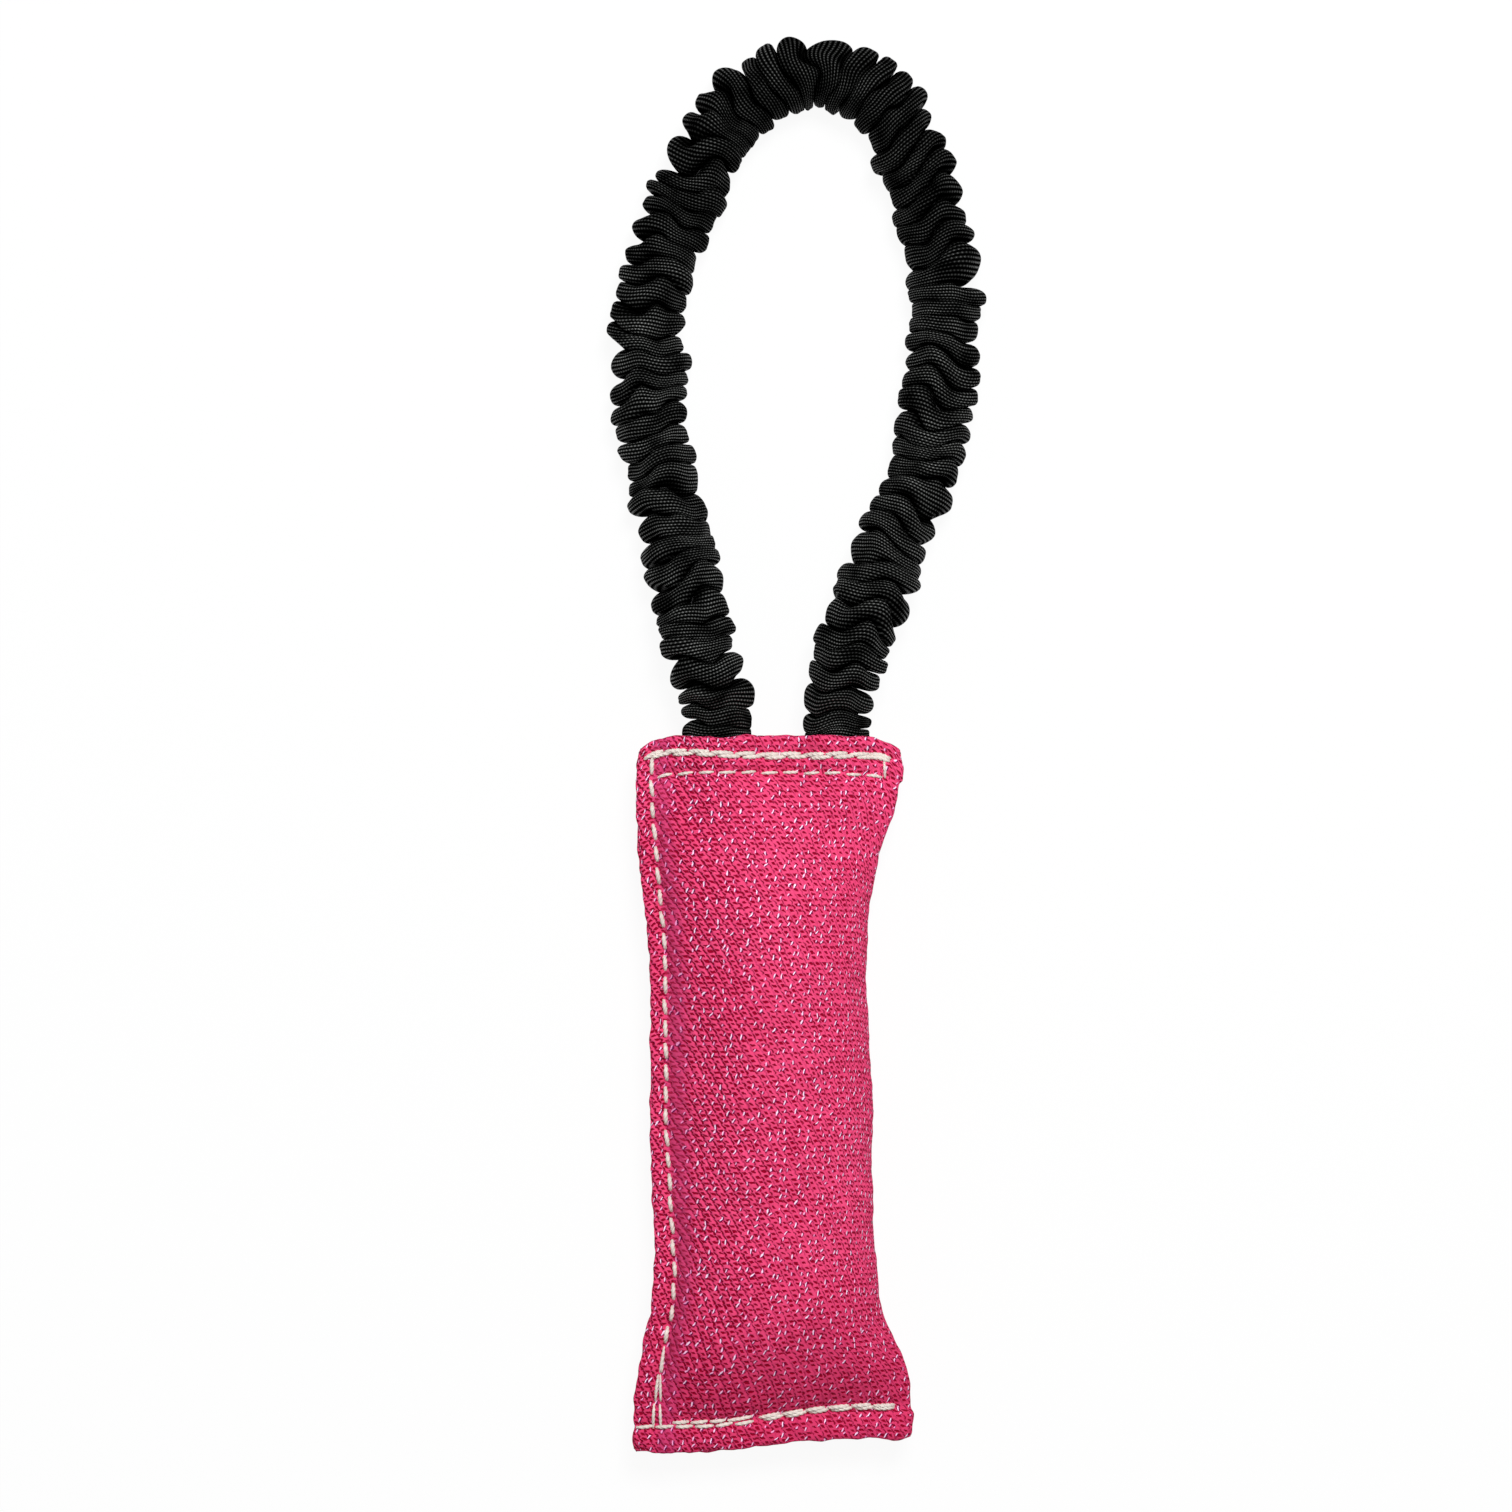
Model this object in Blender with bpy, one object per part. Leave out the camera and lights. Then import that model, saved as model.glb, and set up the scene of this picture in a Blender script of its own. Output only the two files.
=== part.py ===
"""Bungee tug toy: a stuffed cloth pillow with a loop handle of webbing gathered over elastic cord.

The toy lies on its back on the plane z = 0, in metres. +X is to the right, +Y runs from the
pillow to the bow of the handle, and +Z is up. The origin is on the flat under the pillow.

The pillow is one cloth folded at its right side. Its two layers are sewn together along the
left side, the bottom and, with two rows, the top, where they hold both ends of the handle.
The handle is cut into tails, which stay in the top seam, legs, which bend and stretch, and a bow.
"""

import math

import bmesh
import bpy
import numpy as np
from mathutils import Vector
from mathutils.bvhtree import BVHTree

# Clearance between pieces that touch on the real toy
FIT_GAP = 0.00035

# Pillow: overall sizes
PILLOW_LENGTH = 0.1995
WAIST_HALF_WIDTH = 0.0305
PILLOW_HEIGHT = 0.0290
REST_CUT = 0.0008
TOP_CORNER_DROP = 0.0040
BOTTOM_EDGE_RISE = 0.0038

# Pillow: cloth, with its raw edges turned in, and its seams
CLOTH_THICKNESS = 0.0015
LAYER_GAP = 0.0003
SIDE_MARGIN_AT_TOP = 0.0042
SIDE_MARGIN_AT_BOTTOM = 0.0068
TOP_MARGIN = 0.0046
TOP_ROWS_APART = 0.0050
BOTTOM_MARGIN = 0.0078
SEAM_GUTTER = 0.0013

# Pillow: outline of the sides, (share of the length, share of the waist's half width)
LEFT_SIDE_SHARES = (
    (0.00, 1.16),
    (0.07, 1.15),
    (0.14, 1.08),
    (0.21, 0.99),
    (0.35, 0.98),
    (0.50, 1.00),
    (0.64, 1.00),
    (0.76, 1.04),
    (0.86, 1.11),
    (0.93, 1.13),
    (1.00, 1.12),
)
RIGHT_SIDE_SHARES = (
    (0.00, 1.38),
    (0.05, 1.41),
    (0.10, 1.36),
    (0.15, 1.19),
    (0.21, 1.09),
    (0.30, 1.03),
    (0.44, 1.02),
    (0.56, 1.00),
    (0.68, 0.96),
    (0.78, 1.01),
    (0.85, 1.10),
    (0.90, 1.24),
    (0.95, 1.30),
    (1.00, 1.28),
)

# Pillow: how the stuffing fills it, as shares of the width, the length and the height
CROWN_PLACE_SHARE = 0.52
SEAM_SIDE_POWER = 2.3
FOLD_SIDE_POWER = 2.4
END_RISE_SHARE = 0.36
END_RISE_POWER = 2.4
END_SLACK_SHARE = 0.03
CORNER_SHARE = 0.12
BOTTOM_RISE_START_SHARE = 0.19
BOTTOM_RISE_WIDTH_SHARE = 0.62

# Pillow: facets
BODY_COLUMNS = 12
BODY_ROWS = 19

# Filling
FILLING_CLEARANCE = 0.0004
FILLING_SKIPPED_COLUMN_COUNT = 1
FILLING_SKIPPED_ROW_COUNT = 2

# Handle: middle line of the cord in plan, from the left mouth to the right one, as shares of the
# reach. The second number counts from the pillow's top edge. A leg's share is of the whole line.
HANDLE_REACH = 0.1845
HANDLE_ROUTE_SHARES = (
    (-0.062, 0.000),
    (-0.066, 0.055),
    (-0.083, 0.110),
    (-0.096, 0.165),
    (-0.109, 0.216),
    (-0.121, 0.266),
    (-0.133, 0.327),
    (-0.145, 0.382),
    (-0.156, 0.436),
    (-0.165, 0.490),
    (-0.168, 0.545),
    (-0.169, 0.600),
    (-0.168, 0.648),
    (-0.158, 0.692),
    (-0.144, 0.738),
    (-0.127, 0.778),
    (-0.107, 0.820),
    (-0.085, 0.868),
    (-0.056, 0.915),
    (-0.018, 0.954),
    (0.024, 0.982),
    (0.078, 0.998),
    (0.134, 0.988),
    (0.182, 0.953),
    (0.218, 0.900),
    (0.244, 0.845),
    (0.260, 0.795),
    (0.272, 0.740),
    (0.279, 0.682),
    (0.281, 0.610),
    (0.276, 0.550),
    (0.268, 0.495),
    (0.254, 0.430),
    (0.234, 0.368),
    (0.210, 0.312),
    (0.187, 0.260),
    (0.168, 0.208),
    (0.150, 0.165),
    (0.136, 0.120),
    (0.124, 0.070),
    (0.116, 0.032),
    (0.114, 0.000),
)
LEFT_LEG_SHARE = 0.31
RIGHT_LEG_SHARE = 0.33

# Handle: elastic cord
ELASTIC_DIAMETER = 0.0080
ELASTIC_FLAT_HALF_WIDTH = 0.0070
ELASTIC_FLAT_HALF_HEIGHT = 0.0024

# Handle: gathered sleeve of tubular webbing
SLEEVE_PEAK_RADIUS = 0.0098
SLEEVE_VALLEY_RADIUS = 0.0076
SLEEVE_WALL = 0.0011
SLEEVE_FLAT_HALF_WIDTH = 0.0093
GATHER_PITCH = 0.0062
GATHER_UNEVEN_SHARE = 0.09
GATHER_FULLNESS_POWER = 0.6
PEAK_UNEVEN = 0.0006
PEAK_SIDE_SHIFT = 0.0011
FOLD_TILT_ANGLE = math.radians(7.0)
FOLD_TILT_WAVE = 0.043
FLOOR_CUT_SHARE = 0.10

# Handle: where it comes out of the pillow
MOUTH_WIDTH_SHARE = 1.6
TAIL_LENGTH = 0.0175
FLAT_END_LENGTH = 0.0160
LEVEL_RUN_LENGTH = 0.0190
DROP_LENGTH = 0.0560

# Handle: facets
HOSE_SIDES = 10
ROUTE_SAMPLES = 1200

# Threads
THREAD_DIAMETER = 0.0010
THREAD_PINCH_SHARE = 0.55
STITCH_LENGTH = 0.0060
STITCH_HOP = 0.0003
ROW_END_INSET = 0.0042
DOUBLE_ROW_LENGTH = 0.0260
DOUBLE_ROW_APART = 0.0017
ROW_SAMPLES = 9
SIDE_SAMPLES = 25

# Colours as linear red, green and blue, and each finish's roughness
PINK_CLOTH = ((0.745, 0.045, 0.150), 0.85)
BLACK_WEBBING = ((0.012, 0.012, 0.013), 0.70)
BLACK_ELASTIC = ((0.020, 0.020, 0.021), 0.60)
WHITE_FILLING = ((0.850, 0.850, 0.830), 0.95)
WHITE_THREAD = ((0.760, 0.720, 0.660), 0.55)

# Sizes that follow from those above
PILLOW_TOP = PILLOW_LENGTH / 2
HALF_THICKNESS = (PILLOW_HEIGHT + REST_CUT) / 2
MIDDLE_Z = HALF_THICKNESS - REST_CUT
MARGIN_HALF_HEIGHT = LAYER_GAP / 2 + CLOTH_THICKNESS
CROWN_RISE = HALF_THICKNESS - MARGIN_HALF_HEIGHT
BODY_START_SHARE = (BOTTOM_MARGIN + SEAM_GUTTER) / PILLOW_LENGTH
BODY_END_SHARE = 1 - (TOP_MARGIN + TOP_ROWS_APART + SEAM_GUTTER) / PILLOW_LENGTH
ELASTIC_RADIUS = ELASTIC_DIAMETER / 2
BORE_RADIUS = ELASTIC_RADIUS + FIT_GAP
BORE_FLAT_HALF_WIDTH = ELASTIC_FLAT_HALF_WIDTH + 2 * FIT_GAP
BORE_FLAT_HALF_HEIGHT = ELASTIC_FLAT_HALF_HEIGHT + FIT_GAP
SLEEVE_FLAT_HALF_HEIGHT = BORE_FLAT_HALF_HEIGHT + SLEEVE_WALL
FLOOR_Z = SLEEVE_PEAK_RADIUS * (1 - 2 * FLOOR_CUT_SHARE)
MOUTH_BULGE = SLEEVE_FLAT_HALF_HEIGHT + FIT_GAP
MOUTH_HALF_WIDTH = SLEEVE_FLAT_HALF_WIDTH * MOUTH_WIDTH_SHARE
LEFT_MOUTH_X = HANDLE_ROUTE_SHARES[0][0] * HANDLE_REACH
RIGHT_MOUTH_X = HANDLE_ROUTE_SHARES[-1][0] * HANDLE_REACH


def remove_old_objects():
    """Empty the scene of objects."""
    for old in list(bpy.data.objects):
        bpy.data.objects.remove(old, do_unlink=True)


def finish_material(name, finish):
    """Return a Principled material with a finish's colour and roughness."""
    colour, roughness = finish
    material = bpy.data.materials.new(name)
    material.use_nodes = True
    shader = material.node_tree.nodes["Principled BSDF"]
    shader.inputs["Base Color"].default_value = (*colour, 1)
    shader.inputs["Roughness"].default_value = roughness
    shader.inputs["Metallic"].default_value = 0
    return material


def smoothstep(share):
    """Ease from 0 to 1 as a share goes from 0 to 1, and stay level outside."""
    share = min(max(share, 0), 1)
    return share * share * (3 - 2 * share)


def natural_spline(knots, values, places):
    """Read a natural cubic spline through values at knots, at each of places."""
    knots = np.asarray(knots, float)
    values = np.asarray(values, float)
    step = np.diff(knots)
    slope = np.diff(values) / step
    count = len(knots)
    matrix = np.eye(count)
    right = np.zeros(count)
    for row in range(1, count - 1):
        matrix[row, row - 1] = step[row - 1]
        matrix[row, row] = 2 * (step[row - 1] + step[row])
        matrix[row, row + 1] = step[row]
        right[row] = 6 * (slope[row] - slope[row - 1])
    bend = np.linalg.solve(matrix, right)
    places = np.asarray(places, float)
    piece = np.clip(np.searchsorted(knots, places) - 1, 0, count - 2)
    after = places - knots[piece]
    before = knots[piece + 1] - places
    width = step[piece]
    cubic = (bend[piece] * before**3 + bend[piece + 1] * after**3) / (6 * width)
    first = (values[piece] / width - bend[piece] * width / 6) * before
    last = (values[piece + 1] / width - bend[piece + 1] * width / 6) * after
    return cubic + first + last


# The pillow's outline


def side_x(shares, length_share):
    """Distance of one side from the middle, at a share of the pillow's length."""
    knots = [place for place, _ in shares]
    values = [value for _, value in shares]
    return float(natural_spline(knots, values, [length_share])[0]) * WAIST_HALF_WIDTH


def side_margin(length_share):
    """Width of the left margin, from the cloth's edge to the stitches."""
    return SIDE_MARGIN_AT_BOTTOM + (SIDE_MARGIN_AT_TOP - SIDE_MARGIN_AT_BOTTOM) * length_share


def top_y(width_share):
    """Height of the top edge on the sheet, lower at its two corners."""
    to_corner = min(width_share, 1 - width_share) / CORNER_SHARE
    return PILLOW_TOP - TOP_CORNER_DROP * max(0, 1 - to_corner) ** 2


def bottom_y(width_share):
    """Height of the bottom edge on the sheet, which rises to the right."""
    risen = smoothstep((width_share - BOTTOM_RISE_START_SHARE) / BOTTOM_RISE_WIDTH_SHARE)
    return -PILLOW_TOP + BOTTOM_EDGE_RISE * risen


def plan_point(x, length_share):
    """Place on the sheet of a point at x on the row at a share of the length."""
    left = -side_x(LEFT_SIDE_SHARES, length_share)
    right = side_x(RIGHT_SIDE_SHARES, length_share)
    width_share = (x - left) / (right - left)
    low = bottom_y(width_share)
    return Vector((x, low + length_share * (top_y(width_share) - low), 0))


def mouth_bulge(x):
    """How far the top margin's layers are held apart at x by the handle's two tails."""
    bulge = 0.0
    for mouth in (LEFT_MOUTH_X, RIGHT_MOUTH_X):
        reach = min(abs(x - mouth) / MOUTH_HALF_WIDTH, 1)
        bulge += MOUTH_BULGE * (1 + math.cos(math.pi * reach)) / 2
    return bulge


def section_share(share):
    """Height of the cross-section: pinched at the seam, round at the fold."""
    if share < CROWN_PLACE_SHARE:
        return 1 - ((CROWN_PLACE_SHARE - share) / CROWN_PLACE_SHARE) ** SEAM_SIDE_POWER
    reach = (share - CROWN_PLACE_SHARE) / (1 - CROWN_PLACE_SHARE)
    return math.sqrt(max(0, 1 - reach**FOLD_SIDE_POWER))


def length_share_height(share):
    """Height along the pillow: pinched at both ends, a little slack in between."""
    to_end = min(share, 1 - share)
    slack = END_SLACK_SHARE * (2 * share - 1) ** 2
    if to_end >= END_RISE_SHARE:
        return 1 - slack
    rise = 1 - ((END_RISE_SHARE - to_end) / END_RISE_SHARE) ** END_RISE_POWER
    return rise * (1 - slack)


def body_columns():
    """Shares of the stuffed width at the columns, close together at the fold."""
    return [math.sin(math.pi / 2 * k / BODY_COLUMNS) for k in range(BODY_COLUMNS + 1)]


def body_rows():
    """Shares of the stuffed length at the rows, closer together at both ends."""
    rows = []
    for k in range(BODY_ROWS + 1):
        even = k / BODY_ROWS
        rows.append((even + (1 - math.cos(math.pi * even)) / 2) / 2)
    return rows


def stuffed_height(column, row):
    """Rise of the stuffed part over the margins at a column and a row of the body."""
    return CROWN_RISE * section_share(column) * length_share_height(row)


def cover_rows():
    """Rows of the cover as (share of the pillow's length, share of the body or None)."""
    span = BODY_END_SHARE - BODY_START_SHARE
    rows = [(0.0, None)]
    rows += [(BODY_START_SHARE + span * row, row) for row in body_rows()]
    rows += [((BODY_END_SHARE + 1) / 2, None), (1.0, None)]
    return rows


def layer_points(length_share, row, inset):
    """Points (x, y, height) of one row of a cloth layer, from the left edge to the fold.

    inset is how far the surface lies inside the cover's outside: 0, or the cloth's thickness.
    """
    left = -side_x(LEFT_SIDE_SHARES, length_share)
    right = side_x(RIGHT_SIDE_SHARES, length_share) - inset
    start = left + side_margin(length_share) + SEAM_GUTTER
    base = MARGIN_HALF_HEIGHT - inset
    into_body = max(0, BODY_END_SHARE - length_share) * PILLOW_LENGTH
    held_open = 1 - smoothstep(into_body / TAIL_LENGTH)
    points = []
    for x in (left, left + side_margin(length_share) / 2):
        points.append((*plan_point(x, length_share).xy, base))
    for column in body_columns():
        x = start + column * (right - start)
        near_fold = max(0, 1 - (right - x) / MARGIN_HALF_HEIGHT)
        height = base * math.sqrt(max(0, 1 - near_fold**2))
        if length_share > (BODY_START_SHARE + BODY_END_SHARE) / 2:
            height += mouth_bulge(x) * held_open
        if row is not None:
            height += stuffed_height(column, row)
        if column == 1:
            height = 0.0
        points.append((*plan_point(x, length_share).xy, height))
    return points


def sheet_row(length_share, row, inset):
    """One row of a surface of the folded cloth, upper layer first, then the lower one."""
    points = layer_points(length_share, row, inset)
    upper = [Vector((x, y, MIDDLE_Z + height)) for x, y, height in points]
    lower = [Vector((x, y, MIDDLE_Z - height)) for x, y, height in points[:-1]]
    return upper + lower[::-1]


def add_object(name, mesh, material):
    """Link a mesh under a name with its material, shaded smooth."""
    thing = bpy.data.objects.new(name, mesh)
    bpy.context.scene.collection.objects.link(thing)
    mesh.materials.append(material)
    mesh.shade_smooth()
    mesh.set_sharp_from_angle(angle=math.radians(50))
    return thing


def mesh_from(name, shape):
    """Turn a bmesh into a mesh whose faces all point out."""
    bmesh.ops.recalc_face_normals(shape, faces=shape.faces)
    mesh = bpy.data.meshes.new(name)
    shape.to_mesh(mesh)
    shape.free()
    return mesh


def fill_grid(shape, grid):
    """Join the rows of a grid of vertices with faces."""
    for low, high in zip(grid, grid[1:]):
        for k in range(len(low) - 1):
            shape.faces.new((low[k], low[k + 1], high[k + 1], high[k]))


def join_edges(shape, first, second):
    """Join two lines of vertices with a strip of faces."""
    for k in range(len(first) - 1):
        shape.faces.new((first[k], first[k + 1], second[k + 1], second[k]))


def make_cover(material):
    """The pillow's cloth: one thick sheet, folded at the right and open along its margins."""
    shape = bmesh.new()
    outside = []
    inside = []
    for length_share, row in cover_rows():
        outer = sheet_row(length_share, row, 0)
        for point in outer:
            point.z = max(point.z, 0)
        outside.append([shape.verts.new(point) for point in outer])
        inner = sheet_row(length_share, row, CLOTH_THICKNESS)
        inside.append([shape.verts.new(point) for point in inner])
    fill_grid(shape, outside)
    fill_grid(shape, inside)
    join_edges(shape, outside[0], inside[0])
    join_edges(shape, outside[-1], inside[-1])
    for side in (0, -1):
        join_edges(shape, [line[side] for line in outside], [line[side] for line in inside])
    return add_object("pillow_cover", mesh_from("pillow_cover", shape), material)


def make_filling(material):
    """The stuffing: one body that fills the cover, clear of the handle's tails."""
    shape = bmesh.new()
    columns = body_columns()[FILLING_SKIPPED_COLUMN_COUNT:]
    top_share = 1 - (TAIL_LENGTH + 2 * FIT_GAP) / PILLOW_LENGTH
    span = BODY_END_SHARE - BODY_START_SHARE
    last_row = (top_share - BODY_START_SHARE) / span
    rows = [row for row in body_rows()[FILLING_SKIPPED_ROW_COUNT:] if row < last_row]
    upper = []
    lower = []
    for row in rows:
        length_share = BODY_START_SHARE + span * row
        left = -side_x(LEFT_SIDE_SHARES, length_share)
        start = left + side_margin(length_share) + SEAM_GUTTER
        inset = CLOTH_THICKNESS + FILLING_CLEARANCE
        right = side_x(RIGHT_SIDE_SHARES, length_share) - inset
        high = []
        low = []
        for column in columns:
            place = plan_point(start + column * (right - start), length_share)
            rise = (1 - FILLING_CLEARANCE / CROWN_RISE) * stuffed_height(column, row)
            height = max(0, rise - FILLING_CLEARANCE / 2)
            high.append(shape.verts.new((place.x, place.y, MIDDLE_Z + height)))
            if column == 1:
                low.append(high[-1])
            else:
                low.append(shape.verts.new((place.x, place.y, MIDDLE_Z - height)))
        upper.append(high)
        lower.append(low)
    fill_grid(shape, upper)
    fill_grid(shape, lower)
    join_edges(shape, [line[0] for line in upper], [line[0] for line in lower])
    for end in (0, -1):
        join_edges(shape, upper[end][:-1], lower[end][:-1])
        shape.faces.new((upper[end][-2], upper[end][-1], lower[end][-2]))
    return add_object("pillow_filling", mesh_from("pillow_filling", shape), material)


# The handle's middle line


class Route:
    """The middle line of the handle, from mouth to mouth, by the distance along it."""

    def __init__(self):
        plan = np.array(HANDLE_ROUTE_SHARES) * HANDLE_REACH
        knots = np.concatenate([[0], np.cumsum(np.linalg.norm(np.diff(plan, axis=0), axis=1))])
        places = np.linspace(0, knots[-1], ROUTE_SAMPLES)
        self.x = natural_spline(knots, plan[:, 0], places)
        self.y = natural_spline(knots, plan[:, 1], places) + PILLOW_TOP
        steps = np.hypot(np.diff(self.x), np.diff(self.y))
        self.along = np.concatenate([[0], np.cumsum(steps)])
        self.length = float(self.along[-1])

    def to_mouth(self, along):
        """Distance to the nearer mouth."""
        return min(along, self.length - along)

    def height(self, along):
        """Height of the middle line: level at the mouth, then down to the floor."""
        drop = smoothstep((self.to_mouth(along) - LEVEL_RUN_LENGTH) / DROP_LENGTH)
        return MIDDLE_Z + (FLOOR_Z - MIDDLE_Z) * drop

    def point(self, along):
        """Point of the middle line."""
        x = float(np.interp(along, self.along, self.x))
        y = float(np.interp(along, self.along, self.y))
        return Vector((x, y, self.height(along)))

    def axes(self, along):
        """Directions at a point: along the line, to its side, and up from it."""
        step = self.length / ROUTE_SAMPLES
        ahead = min(along + step, self.length)
        behind = max(along - step, 0)
        forward = (self.point(ahead) - self.point(behind)).normalized()
        if self.to_mouth(along) < step:
            forward = Vector((0, 1 if along < self.length / 2 else -1, 0))
        side = forward.cross(Vector((0, 0, 1))).normalized()
        return forward, side, side.cross(forward)


def ring(centre, forward, side, up, half_width, half_height, roundness, tilt=0.0):
    """One ring of a hose.

    roundness runs from 0, a flat lens, to 1, an ellipse, and tilt leans the ring about up.
    """
    leaning = side * math.cos(tilt) + forward * math.sin(tilt)
    points = []
    for k in range(HOSE_SIDES):
        turn = 2 * math.pi * k / HOSE_SIDES
        rise = math.copysign(abs(math.sin(turn)) ** (2 - roundness), math.sin(turn))
        points.append(centre + leaning * (half_width * math.cos(turn)) + up * (half_height * rise))
    return points


def mix(first, second, share):
    """A value between two others."""
    return first + (second - first) * share


def roundness_at(route, along):
    """How far the handle has opened from its flat end, 0 to 1."""
    return smoothstep(route.to_mouth(along) / FLAT_END_LENGTH)


def gather_places(route):
    """Distances along the route of the valleys between gathers, unevenly spaced."""
    count = round(route.length / GATHER_PITCH)
    pitch = route.length / count
    places = []
    for k in range(count + 1):
        uneven = math.sin(2.3 * k) + 0.6 * math.sin(5.1 * k + 1)
        if k in (0, count):
            uneven = 0
        places.append(pitch * (k + GATHER_UNEVEN_SHARE * uneven))
    return places


def outer_stations(route):
    """Rings of the sleeve's outside as (distance along, gather number, share of the gather)."""
    places = gather_places(route)
    stations = []
    for k, (start, end) in enumerate(zip(places, places[1:])):
        for share in (0, 1 / 3, 2 / 3):
            stations.append((mix(start, end, share), k, share))
    stations.append((places[-1], len(places) - 2, 1))
    return stations


def outer_ring(route, along, gather, share):
    """A ring of the gathered outside, cut flat where it lies on the floor."""
    forward, side, up = route.axes(along)
    opened = roundness_at(route, along)
    fold = math.sin(math.pi * share) ** GATHER_FULLNESS_POWER
    peak = SLEEVE_PEAK_RADIUS + PEAK_UNEVEN * math.sin(1.9 * gather) * opened
    radius = mix(SLEEVE_VALLEY_RADIUS, peak, fold)
    flat = SLEEVE_FLAT_HALF_WIDTH
    half_width = mix(flat, radius, opened)
    half_height = mix(SLEEVE_FLAT_HALF_HEIGHT, radius, opened)
    shift = PEAK_SIDE_SHIFT * math.sin(2.6 * gather + 0.4) * fold * opened
    tilt = FOLD_TILT_ANGLE * math.sin(2 * math.pi * along / FOLD_TILT_WAVE) * opened
    centre = route.point(along) + side * shift
    points = ring(centre, forward, side, up, half_width, half_height, opened, tilt)
    for point in points:
        point.z = max(point.z, 0)
    return points


def inner_ring(route, along, radius, flat_half_width, flat_half_height):
    """A ring of the sleeve's bore or of the elastic."""
    forward, side, up = route.axes(along)
    opened = roundness_at(route, along)
    half_width = mix(flat_half_width, radius, opened)
    half_height = mix(flat_half_height, radius, opened)
    return ring(route.point(along), forward, side, up, half_width, half_height, opened)


def loft(shape, rings):
    """Join rings of points into a tube, open at its ends, and return its rings of vertices."""
    loops = [[shape.verts.new(point) for point in points] for points in rings]
    for first, second in zip(loops, loops[1:]):
        join_edges(shape, first + first[:1], second + second[:1])
    return loops


def solid_rod(name, rings, material):
    """A solid lofted through rings."""
    shape = bmesh.new()
    loops = loft(shape, rings)
    shape.faces.new(loops[0])
    shape.faces.new(loops[-1])
    return add_object(name, mesh_from(name, shape), material)


def hose(name, outside, bore, material):
    """A tube lofted through outer rings, with a bore through it."""
    shape = bmesh.new()
    outer = loft(shape, outside)
    inner = loft(shape, bore)
    for end in (0, -1):
        join_edges(shape, outer[end] + outer[end][:1], inner[end] + inner[end][:1])
    return add_object(name, mesh_from(name, shape), material)


def stretch_places(route, start, end):
    """Distances along the route from start to end, about a gather apart."""
    count = max(1, round((end - start) / GATHER_PITCH))
    return [mix(start, end, k / count) for k in range(count + 1)]


def sleeve_stretch(name, route, start, end, material):
    """One stretch of the gathered sleeve, between two distances along the route."""
    closest = GATHER_PITCH / 6
    stations = outer_stations(route)
    middle = [s for s in stations if start + closest < s[0] < end - closest]
    first = min(stations, key=lambda s: abs(s[0] - start))
    last = min(stations, key=lambda s: abs(s[0] - end))
    picked = [(start, first[1], first[2])] + middle + [(end, last[1], last[2])]
    outside = [outer_ring(route, *station) for station in picked]
    bore = [
        inner_ring(route, along, BORE_RADIUS, BORE_FLAT_HALF_WIDTH, BORE_FLAT_HALF_HEIGHT)
        for along in stretch_places(route, start, end)
    ]
    return hose(name, outside, bore, material)


def elastic_stretch(name, route, start, end, material):
    """One stretch of the elastic cord, between two distances along the route."""
    flat = (ELASTIC_FLAT_HALF_WIDTH, ELASTIC_FLAT_HALF_HEIGHT)
    rings = [
        inner_ring(route, along, ELASTIC_RADIUS, *flat)
        for along in stretch_places(route, start, end)
    ]
    return solid_rod(name, rings, material)


def tail_rings(mouth_x, half_width, half_height):
    """Rings of a flat end, from deep in the top seam to the pillow's edge."""
    forward = Vector((0, 1, 0))
    side = Vector((1, 0, 0))
    up = Vector((0, 0, 1))
    rings = []
    for share in (0, 1 / 2, 1):
        centre = Vector((mouth_x, PILLOW_TOP - TAIL_LENGTH * (1 - share), MIDDLE_Z))
        rings.append(ring(centre, forward, side, up, half_width, half_height, 0))
    return rings


def make_tails(sleeve_material, elastic_material):
    """Both ends of the handle, held flat between the pillow's layers."""
    for name, mouth_x in (("left", LEFT_MOUTH_X), ("right", RIGHT_MOUTH_X)):
        outside = tail_rings(mouth_x, SLEEVE_FLAT_HALF_WIDTH, SLEEVE_FLAT_HALF_HEIGHT)
        bore = tail_rings(mouth_x, BORE_FLAT_HALF_WIDTH, BORE_FLAT_HALF_HEIGHT)
        core = tail_rings(mouth_x, ELASTIC_FLAT_HALF_WIDTH, ELASTIC_FLAT_HALF_HEIGHT)
        hose(f"{name}_sleeve_tail", outside, bore, sleeve_material)
        solid_rod(f"{name}_elastic_tail", core, elastic_material)


def make_handle(route, sleeve_material, elastic_material):
    """The handle's legs and bow: gathered sleeve outside, elastic cord inside."""
    valleys = gather_places(route)
    left_wish = LEFT_LEG_SHARE * route.length
    right_wish = (1 - RIGHT_LEG_SHARE) * route.length
    left_end = min(valleys, key=lambda place: abs(place - left_wish))
    right_end = min(valleys, key=lambda place: abs(place - right_wish))
    half_gap = FIT_GAP / 2
    stretches = (
        ("left", "leg", FIT_GAP, left_end - half_gap),
        ("", "bow", left_end + half_gap, right_end - half_gap),
        ("right", "leg", right_end + half_gap, route.length - FIT_GAP),
    )
    for side, part, start, end in stretches:
        prefix = f"{side}_" if side else ""
        sleeve_stretch(f"{prefix}sleeve_{part}", route, start, end, sleeve_material)
        elastic_stretch(f"{prefix}elastic_{part}", route, start, end, elastic_material)


# The threads


def stitch_line(points):
    """Needle holes along a line of points, a stitch apart, with no stitch cut short."""
    points = [Vector((x, y)) for x, y in points]
    along = [0.0]
    for first, second in zip(points, points[1:]):
        along.append(along[-1] + (second - first).length)
    count = max(1, round(along[-1] / STITCH_LENGTH))
    xs = [point.x for point in points]
    ys = [point.y for point in points]
    places = np.linspace(0, along[-1], 2 * count + 1)
    return list(zip(np.interp(places, along, xs), np.interp(places, along, ys)))


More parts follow.
